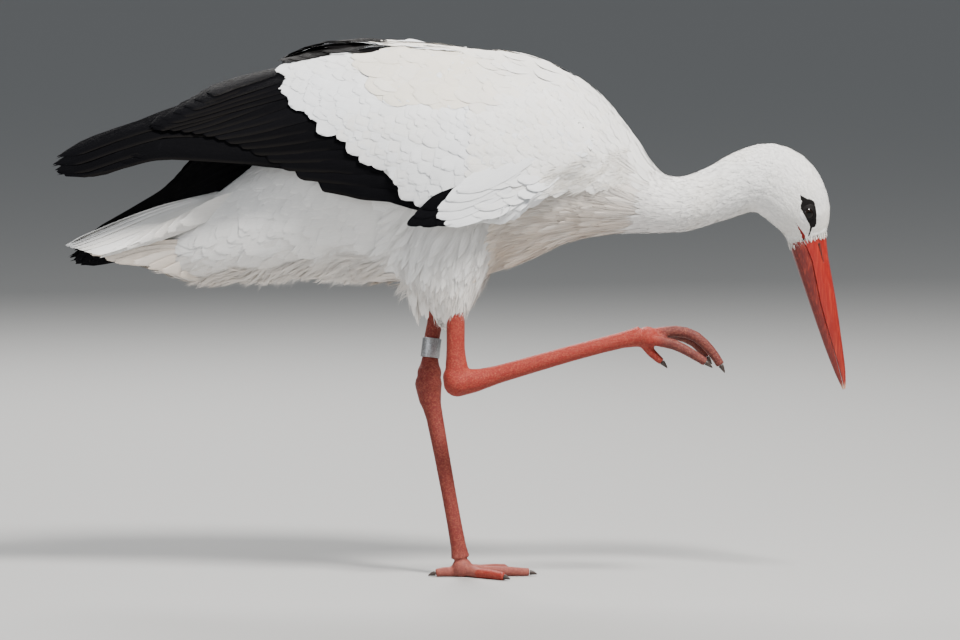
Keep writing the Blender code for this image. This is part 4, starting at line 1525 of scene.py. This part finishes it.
def make_coverts(sheet, side):
    """The white shield of a wing: small feathers in front, greater coverts at the parting."""
    lay = covert_lay(side)
    centres = sheet.centres
    margin = centres[:, 0] - parting_x(centres[:, 2])
    hidden = (centres[:, 0] > 0.1) & (centres[:, 2] < 0.49) | (sheet.facing[:, 2] < -0.4)
    chosen = (margin > PARTING_GAP) & ~hidden

    def sized(pair, margin):
        return np.interp(margin, (0.02, 0.2), pair) * MM

    roots = sheet.scatter(chosen, sized(COVERT_SPACING, margin))
    count = len(roots)
    margin = roots[:, 0] - parting_x(roots[:, 2])
    length = sized(COVERT_LENGTH, margin) * varied(count, 1, 0.12)
    half = sized(COVERT_HALF, margin) * varied(count, 1, 0.1)
    yaw = rng.normal(0, 0.1, count) + 0.15 * drift(roots, 0.07, 12)
    places, normals = grown(sheet, roots, lay, length, yaw)
    coat = Coat(f"coverts_{side}")
    inside = places[:, -1, 2] > COVERTS_LOWEST
    places, normals, half = places[inside], normals[inside], half[inside]
    heights = (-0.9 * MM, varied(len(half), 0.45 * MM, 0.5))
    colours = covert_colour(places[:, 0], 0.3)
    coat.feathers(COVERT_VANES, places, normals, half, heights, colours, root_shade=0.97)
    ends = beside(sheet, side, COVERT_ENDS)
    spots = {"ends": ends, "between": (ends[1:] + ends[:-1]) / 2}
    for kind, ahead, long, wide, (root_height, tip_height) in COVERT_ROWS:
        amount = len(spots[kind])
        uneven = ahead * MM + rng.normal(0, 2.2 * MM, (amount, 1))
        tips, _, _ = sheet.nearest(spots[kind] - lay(spots[kind]) * uneven)
        length = varied(amount, long * MM, 0.08)
        places, normals = ended_at(sheet, tips, lay, length, rng.normal(0, 0.09, amount))
        heights = (root_height * MM, tip_height * MM + rng.uniform(0, 0.25 * MM, amount))
        colours = covert_colour(tips, 0.1)
        half = varied(amount, wide * MM, 0.08)
        coat.feathers(EDGE_VANES, places, normals, half, heights, colours, root_shade=0.97)
    for ends, long, wide, lift in WRIST_FEATHERS:
        places, normals = along_wrist(sheet, side, ends, long)
        amount = len(places)
        heights = (lift[0] * MM, (lift[1] + 0.1 * np.arange(amount)) * MM)
        colours = covert_colour(places[:, -1], 0.15)
        coat.feathers(COVERT_VANES, places, normals, wide * MM, heights, colours, root_shade=0.97)
    coat.build(WHITE_VANES, "wing_coverts")
    black = Coat(f"wrist_{side}")
    places, normals = along_wrist(sheet, side, BLACK_WRIST_ENDS, 60)
    amount = len(places)
    colours = np.array(BLACK) * rng.uniform(0.9, 1.3, (amount, 1))
    heights = (0.9 * MM, (2.2 + 0.15 * np.arange(amount)) * MM)
    black.feathers(COVERT_VANES, places, normals, 8.5 * MM, heights, colours)
    places, normals = along_wrist(sheet, side, BLACK_FRONT_END, 24)
    black.feathers(COVERT_VANES, places, normals, 4.5 * MM, (0.2 * MM, 1.0 * MM), colours[:1])
    black.build(BLACK_VANES, "flight_feathers")


def along_wrist(sheet, side, ends, length):
    """Straight centre lines that end at the spots (x, z) and stay level with the side of the wrist."""
    ends = np.array(ends, float)
    t = np.linspace(1, 0, 5)
    x = (ends[:, :1] - WRIST_RUN[0] * length * t) * MM
    z = (ends[:, 1:] - WRIST_RUN[1] * length * t) * MM
    out = SIDES[side]

    def seen_at(tree, x, z):
        """How far out the surface is that shows at a spot from the side."""
        return tree.ray_cast(Vector((x, MIDDLE + out * 0.3, z)), Vector((0, -out, 0)))[0].y

    level_x = np.linspace(-0.06, 0.11, 18)
    y = np.interp(x, level_x, [seen_at(sheet.tree, spot, 0.455) for spot in level_x])
    body = tree_of((WING_NODES[side][0], "trunk"))
    under = [[seen_at(body, *spot) for spot in zip(*row)] for row in zip(x[:, :3], z[:, :3])]
    y[:, :3] += (np.array(under) - y[:, :3]) * (1, 0.65, 0.25)
    places = np.stack([x, y, z], -1)
    normals = unit(np.broadcast_to((0.0, out, 0.1), places.shape))
    return places, normals


def quill_paths(sheet, starts, ends, steps=10):
    """Centre lines between places given as (x, share down the wing)."""
    t = np.linspace(0, 1, steps + 1)[None]
    along = sheet.share_of(starts[:, :1] * (1 - t) + ends[:, :1] * t)
    across = starts[:, 1:] * (1 - t) + ends[:, 1:] * t
    return sheet.at(along, across)


def make_flight(sheet, side):
    """Primaries, then secondaries over them, then the inner feathers over those, all black."""
    tip_x = sheet.grid[-1, 0, 0]
    primary = np.arange(9)
    secondary = np.linspace(0, 1, 13)
    inner = np.arange(6)
    starts = np.vstack(
        [
            np.column_stack([-0.035 - 0.006 * primary, 0.93 - 0.015 * primary]),
            np.column_stack([-0.04 - 0.14 * secondary, 0.9 - 0.72 * secondary]),
            np.column_stack([-0.1 - 0.015 * inner, 0.3 - 0.04 * inner]),
        ]
    )
    ends = np.vstack(
        [
            np.column_stack(
                [
                    tip_x + np.array((4, 0, 2, 9, 20, 34, 50, 68, 88)) * MM,
                    (0.12, 0.42, 0.72, 0.9, 0.95, 0.96, 0.965, 0.97, 0.97),
                ]
            ),
            np.column_stack([-0.16 - 0.185 * secondary**0.8, 0.97 - 0.5 * secondary]),
            np.column_stack([-0.345 + 0.012 * inner, 0.42 - 0.062 * inner]),
        ]
    )
    places, normals = quill_paths(sheet, starts, ends)
    count = len(places)
    half = np.concatenate([np.full(9, 11.5), np.full(13, 13.5), np.full(6, 14.5)]) * MM
    layer = np.linspace(-4.8, -0.9, count) * MM
    twist = -SIDES[side] * 0.07
    colours = np.array(BLACK) * rng.uniform(0.85, 1.35, (count, 1))
    coat = Coat(f"flight_{side}")
    # Painted highlight along each flight feather's lower rim.
    edge_at = -0.94 * SIDES[side]
    heights = (layer - 0.4 * MM, layer)
    coat.feathers(
        QUILL_VANES, places, normals, half, heights, colours, twist, edge=BLACK_PALE_AND_EDGE_HIGHLIGHT, edge_at=edge_at
    )
    coat.add(*under_layer(sheet, (-0.185, -0.075), tip_x + 0.05, 0.1, 0.95, (5.4 * MM, 5.4 * MM), BLACK))
    coat.build(BLACK_VANES, "flight_feathers", WING_NODES[side][1])


def under_layer(sheet, x_from, x_to, top, bottom, depth, colour):
    """The overlapped roots of feathers, as one layer that runs back from x_from, one for each edge, to x_to.

    top and bottom are shares down the sheet, and depth is for the layer's front edge and for the rest.
    """
    bm = bmesh.new()
    bmesh.ops.create_grid(bm, x_segments=24, y_segments=40, size=1)
    shape = Shape(bm)
    across, along = (shape.across + 1) / 2, (shape.along + 1) / 2
    shape.along = along
    x = np.interp(across, (0, 1), x_from) * (1 - along) + x_to * along
    places, normals = sheet.at(sheet.share_of(x), top + (bottom - top) * across)
    points = (places - normals * np.interp(along, (0, 0.12), depth)[:, None])[None]
    return shape, points, np.array([colour]), spine.chart(places.mean(0)[None])


# The lower edge of the creamy feathers over the wings: places along the bird, and the height at each.
SCAPULAR_EDGE = (-0.115, -0.1, -0.055, 0.02, 0.07, 0.12), (0.592, 0.576, 0.552, 0.54, 0.545, 0.56)


def make_mantle(cloak):
    """The mantle, smooth and white, and the larger creamy feathers that lap over both wings."""
    x, z = cloak.centres[:, 0], cloak.centres[:, 2]
    aside = np.abs(cloak.centres[:, 1] - MIDDLE)
    scapular = (z > np.interp(x, *SCAPULAR_EDGE)) & (x > -0.075) & (x < 0.13)
    low_edge = np.interp(x, (0.05, 0.19), (0.43, 0.45))
    shoulder = (x > 0.03) & (x < 0.2) & (z > low_edge) & ~scapular
    ridge = scapular & (aside < 0.02) & (x < 0.06)
    band = (x > 0.105) & (x < 0.2) & (z > low_edge) & (z < low_edge + 0.03)
    between_wings = (aside < 0.02) & (x < -0.08) & (x > -0.17) & (z > 0.54)
    lay = tailward_flat()

    def tract(coat, chosen, shapes, spacing, long, wide, heights, stray, share, pair=(WHITE, CREAM)):
        """Sizes in mm. Pairs are for the shoulder and the rear. share is the second colour's."""

        def sized(pair, roots):
            return np.interp(roots[:, 0], (-0.08, 0.19), pair[::-1]) * MM

        roots = cloak.scatter(chosen, spacing * MM)
        count = len(roots)
        yaw = rng.normal(0, stray, count) + 0.12 * drift(roots, 0.08, 15)
        places, normals = grown(cloak, roots, lay, sized(long, roots) * varied(count, 1, 0.12), yaw)
        share = creamy(roots) if share is None else share
        share = np.clip(share + rng.normal(0, 0.14, count), 0, 1)
        colours = mix(*pair, share) * rng.uniform(0.97, 1.02, (count, 1))
        sunk = 4.5 * MM * np.stack([ramp(places[:, end, 0], 0.135, 0.2) for end in (0, -1)])
        heights = (heights[0] * MM - sunk[0], varied(count, heights[1] * MM, 0.4) - sunk[1])
        over_ridge = np.interp(np.abs(roots[:, 1] - MIDDLE), (0.006, 0.03), (0.45, 1))
        half = sized(wide, roots) * np.where(roots[:, 0] < 0.06, over_ridge, 1)
        coat.feathers(shapes, places, normals, half, heights, colours, root_shade=0.97)

    def creamy(roots):
        return 0.9 - 0.75 * ramp(roots[:, 0], 0.0, 0.12) - 0.3 * ramp(roots[:, 2], 0.585, 0.6)

    coat = Coat("mantle")
    tract(coat, shoulder, SOFT_VANES, 6.5, (20, 27), (6.5, 9), (-0.4, 0.45), 0.12, 0.06)
    tract(coat, ridge, COVERT_VANES, 7.5, (32, 50), (9, 13), (-1.2, 0.2), 0.06, None)
    tract(coat, scapular & ~ridge, COVERT_VANES, 12.5, (32, 50), (10, 17), (-0.3, 1.0), 0.1, None)
    # The band's cream is painted shade, easing from the white shoulder into the breast's painted tan.
    tract(coat, band, STRANDS, 5, (24, 30), (3.6, 4.2), (0.1, 1.5), 0.25, 0.4)
    coat.add(*under_layer(cloak, (0.16, 0.16), -0.085, 0.12, 0.88, (6 * MM, 1.2 * MM), WHITE))
    coat.build(WHITE_VANES, "plumage_white")
    coat = Coat("long_scapulars")
    black = {"share": None, "pair": (BLACK, BLACK_PALE_AND_EDGE_HIGHLIGHT)}
    tract(coat, between_wings, COVERT_VANES, 8, (45, 45), (13, 13), (0.3, 2.0), 0.06, **black)
    coat.build(BLACK_VANES, "flight_feathers")


def tailward_flat():
    """The lay over the back: to the tail, spreading a little to both sides."""

    def lay(places):
        out = np.clip((places[:, 1] - MIDDLE) / 0.09, -1, 1)
        fall = -0.16 * np.abs(out) - 0.75 * ramp(places[:, 0], 0.1, 0.2) * 0.3
        return unit(np.column_stack([-np.ones(len(places)), 0.1 * out, fall]))

    return lay


def make_tail(sheet):
    """Twelve white tail feathers, the middle pair on top, and the coverts that step below them, made beige
    under the tail as painted shade.
    """
    order = np.array([5.5, -5.5, 4.5, -4.5, 3.5, -3.5, 2.5, -2.5, 1.5, -1.5, 0.5, -0.5])
    share = order / 6
    wide = np.abs(share)
    tip_x = -0.4455 + 0.034 * wide**2.2
    starts = np.column_stack([np.full(12, sheet.grid[0, 0, 0]), 0.5 + 0.2 * share])
    ends = np.column_stack([tip_x, 0.5 + 0.46 * share * (1 - 0.25 * wide)])
    places, normals = quill_paths(sheet, starts, ends, 8)
    layer = np.linspace(-2.0, -0.2, 12) * MM
    colours = mix(WHITE, CREAM, rng.uniform(0.0, 0.25, 12)) * rng.uniform(0.98, 1.02, (12, 1))
    coat = Coat("tail_fan")
    twist = np.sign(share) * 0.03
    how = {"root_shade": 0.97}
    coat.feathers(QUILL_VANES, places, normals, 14 * MM, (layer - 3.5 * MM, layer), colours, twist, **how)
    for out in SIDES.values():
        for tips, slope, first, last, inward, tan_and_shade in TAIL_SIDES:
            tips = np.array(tips, float)
            count = len(tips)
            t = np.linspace(1, 0, 6)
            length = np.linspace(105, 80, count)[:, None]
            x, z = (tips[:, :1] + length * t) * MM, (tips[:, 1:] + slope * length * t) * MM
            y = MIDDLE + out * (np.linspace(first, last, count)[:, None] - inward * t) * MM
            places = np.stack([x, y, z], -1)
            normals = unit(np.broadcast_to((0.0, out, -0.35), places.shape))
            # Tan: a little on the coverts beside the tail, and painted shade on those under it.
            colours = mix(WHITE, TAN, rng.uniform(-0.1, 0.1, count) + tan_and_shade)
            heights = (0.0, 0.3 * MM * np.arange(count))
            wide = np.linspace(8, 12, count) * MM
            coat.feathers(SOFT_VANES, places, normals, wide, heights, colours, **how)
    coat.build(WHITE_VANES, "tail_feathers", "tail")


# ---------------------------------------------------------------- bill, eyes, claws and ring


# Each half's red at its base and at its tip. The lower half's is darker, as painted shade under the bill.
BILL_REDS_WITH_LOWER_SHADE = {
    "bill_upper": ((0.25, 0.0055, 0.0025), (0.2, 0.007, 0.0035)),
    "bill_lower": ((0.11, 0.003, 0.002), (0.13, 0.006, 0.004)),
}
# The bill's base and the nostril slit are darkened with painted shade.
BILL_WORN_TIP, BILL_BASE_PAINTED_SHADE, NOSTRIL_PAINTED_SHADE = (0.62, 0.42, 0.28), (0.16, 0.01, 0.008), (0.008, 0.002, 0.002)
BILL_BASE, BILL_TIP = np.array((0.388, 0.3825)), np.array((0.43, 0.212))  # the middle line, as (x, z)


def along_bill(places):
    """How far from the bill's base points lie along its middle line, in millimetres."""
    run = BILL_TIP - BILL_BASE
    return (places[:, [0, 2]] - BILL_BASE) @ run / np.linalg.norm(run) / MM


def make_bill():
    """Both halves in red horn, worn pale at the tip, with a nostril slit on each side of the upper one.
    Painted shade darkens the base, the slit and the lower half.
    """
    for name, (base_red, tip_red) in BILL_REDS_WITH_LOWER_SHADE.items():
        obj = remeshed(name.replace("bill_", "horn_"), merged((name,)), HORN_VOXEL, 2)
        mesh = obj.data
        places = read_points(mesh)
        surface = Surface(places, read_triangles(mesh))
        along = along_bill(places)
        colours = mix(base_red, tip_red, ramp(along, 40, 150))
        colours = mix(colours, BILL_WORN_TIP, ramp(along, 166, 176) * 0.7)
        # Painted shade at the base, where the bill meets the feathers.
        colours = mix(colours, BILL_BASE_PAINTED_SHADE, (1 - ramp(along, 0, 9)) * 0.4)
        if name == "bill_upper":
            slit = ramp(inside_strokes(places, NOSTRIL_STROKES), -0.5, 0.7)
            slit = slit * (np.abs(places[:, 1] - MIDDLE) > 3 * MM)
            # Painted shade inside the slit, which is also pressed in.
            colours = mix(colours, NOSTRIL_PAINTED_SHADE, slit)
            write_points(mesh, places - surface.normals * (slit * 0.9 * MM)[:, None])
        write_tint(mesh, colours)
        wear(mesh, BILL_HORN)
        placed(obj, "bill_horn", name)


def made_piece(name, bm, material, slot, *replaced):
    mesh = mesh_from(name, bm)
    mesh.shade_smooth()
    mesh.materials.append(material)
    return placed(link(name, mesh), slot, *replaced)


def make_eyes():
    for side in SIDES:
        bm = bmesh.new()
        bmesh.ops.create_uvsphere(bm, u_segments=48, v_segments=24, radius=EYE_RADIUS)
        bmesh.ops.translate(bm, verts=bm.verts, vec=EYE[side])
        made_piece(f"eyeball_{side}", bm, eye_material(side), "eye", f"eye_{side}")


def make_claws():
    names = [name for name in nodes if name.startswith("claw_")]
    obj = remeshed("claws", merged(names), CLAW_VOXEL, 3)
    wear(obj.data, CLAW_HORN)
    placed(obj, "claw_horn", *names)


def make_ring():
    """A plain metal band with rounded edges."""
    points = read_points(nodes["leg_ring"].data)
    centre = (points.max(0) + points.min(0)) / 2
    axis = np.linalg.svd(points - points.mean(0))[2][0]
    axis = axis * np.sign(axis[2])
    height = (points - centre) @ axis
    radii = np.linalg.norm(points - centre - height[:, None] * axis, axis=1)
    inner, outer, half = radii.min(), radii.max(), height.max()
    bm = bmesh.new()
    corners = [(inner, -half), (outer, -half), (outer, half), (inner, half)]
    verts = [bm.verts.new((x, 0, z)) for x, z in corners]
    edges = [bm.edges.new((a, b)) for a, b in zip(verts, verts[1:] + verts[:1])]
    whole = {"cent": (0, 0, 0), "axis": (0, 0, 1), "angle": 2 * pi, "steps": 72, "use_merge": True}
    bmesh.ops.spin(bm, geom=verts + edges, **whole)
    bmesh.ops.remove_doubles(bm, verts=bm.verts, dist=1e-6)
    rims = [e for e in bm.edges if abs(e.verts[0].co.z - e.verts[1].co.z) < 1e-6]
    rims = [e for e in rims if abs(e.verts[0].co.xy.length - e.verts[1].co.xy.length) < 1e-6]
    bmesh.ops.bevel(bm, geom=rims, offset=0.3 * MM, affect="EDGES", segments=2, profile=0.5, material=-1)
    turn = Vector((0, 0, 1)).rotation_difference(Vector(axis)).to_matrix().to_4x4()
    bm.transform(Matrix.Translation(Vector(centre)) @ turn)
    bmesh.ops.recalc_face_normals(bm, faces=bm.faces)
    made_piece("leg_band", bm, RING_METAL, "ring_metal", "leg_ring")


# ---------------------------------------------------------------- the studio


def make_stage():
    bm = bmesh.new()
    bmesh.ops.create_circle(bm, cap_ends=True, segments=64, radius=40)
    mesh = mesh_from("floor", bm)
    mesh.materials.append(stage_material())
    link("floor", mesh)


# Each lamp's name, place, size, power and colour.
LAMPS = (
    ("key", (1.4, -1.6, 3.2), 0.9, 330, (1.0, 0.97, 0.93)),
    ("fill", (-2.4, -2.6, 1.3), 2.2, 45, (0.93, 0.96, 1.0)),
    ("rim", (-0.6, 2.6, 2.4), 1.4, 130, (1.0, 0.98, 0.96)),
)
LAMPS_AIM = Vector((0, 0, 0.4))
CAMERA_AIM, CAMERA_ELEVATION, CAMERA_DISTANCE = Vector((0.0202, MIDDLE, 0.29)), radians(4.5), 6.0


def add_lamp(name, place, size, energy, colour):
    """A round soft lamp that shines on the middle of the bird."""
    lamp = bpy.data.lights.new(name, "AREA")
    lamp.shape = "DISK"
    lamp.size = size
    lamp.energy = energy
    lamp.color = colour
    obj = bpy.data.objects.new(name, lamp)
    bpy.context.scene.collection.objects.link(obj)
    obj.location = place
    obj.rotation_euler = (LAMPS_AIM - Vector(place)).to_track_quat("-Z", "Y").to_euler()


def make_light():
    world = bpy.data.worlds.new("studio")
    world.use_nodes = True
    sky = world.node_tree.nodes["Background"].inputs
    sky["Color"].default_value = SKY_GREY
    sky["Strength"].default_value = 0.5
    bpy.context.scene.world = world
    for lamp in LAMPS:
        add_lamp(*lamp)


def make_camera():
    """Level with the legs and looking slightly down, from the bird's right."""
    camera = bpy.data.cameras.new("camera")
    camera.sensor_width, camera.lens = 36, 200
    camera.clip_start, camera.clip_end = 0.1, 200
    obj = bpy.data.objects.new("camera", camera)
    bpy.context.scene.collection.objects.link(obj)
    back = Vector((0, -cos(CAMERA_ELEVATION), sin(CAMERA_ELEVATION)))
    obj.location = CAMERA_AIM + back * CAMERA_DISTANCE
    obj.rotation_euler = (CAMERA_AIM - obj.location).to_track_quat("-Z", "Y").to_euler()
    bpy.context.scene.camera = obj


def height_along(x_and_z):
    """A line seen from the side, as its height at x."""
    return lambda x: float(np.interp(x, *x_and_z))


def make_plumage(trunk_surface, head_surface):
    plumage_on_head(head_surface)
    plumage_on_trunk(trunk_surface)
    sheets = {side: wing_sheet(side) for side in SIDES}
    for side, sheet in sheets.items():
        make_flight(sheet, side)
        make_coverts(sheet, side)
    names = ("trunk", "neck_lower", *(WING_NODES[side][0] for side in SIDES))
    axis = height_along(((-0.2, 0.1, 0.215), (0.47, 0.47, 0.43)))
    make_mantle(wrapped(names, 0.215, -0.2, axis, (-1.9, 1.9), 70, 90, bridge=14))
    low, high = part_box("tail")
    axis = height_along(((low.x, -0.215), (0.205, 0.282)))
    make_tail(wrapped(("tail",), high.x - 3 * MM, low.x + 2 * MM, axis, (-0.5, 0.5), 30, 25))


make_plumage(*make_skin())
make_bill()
make_eyes()
make_claws()
make_ring()
make_stage()
make_light()
make_camera()
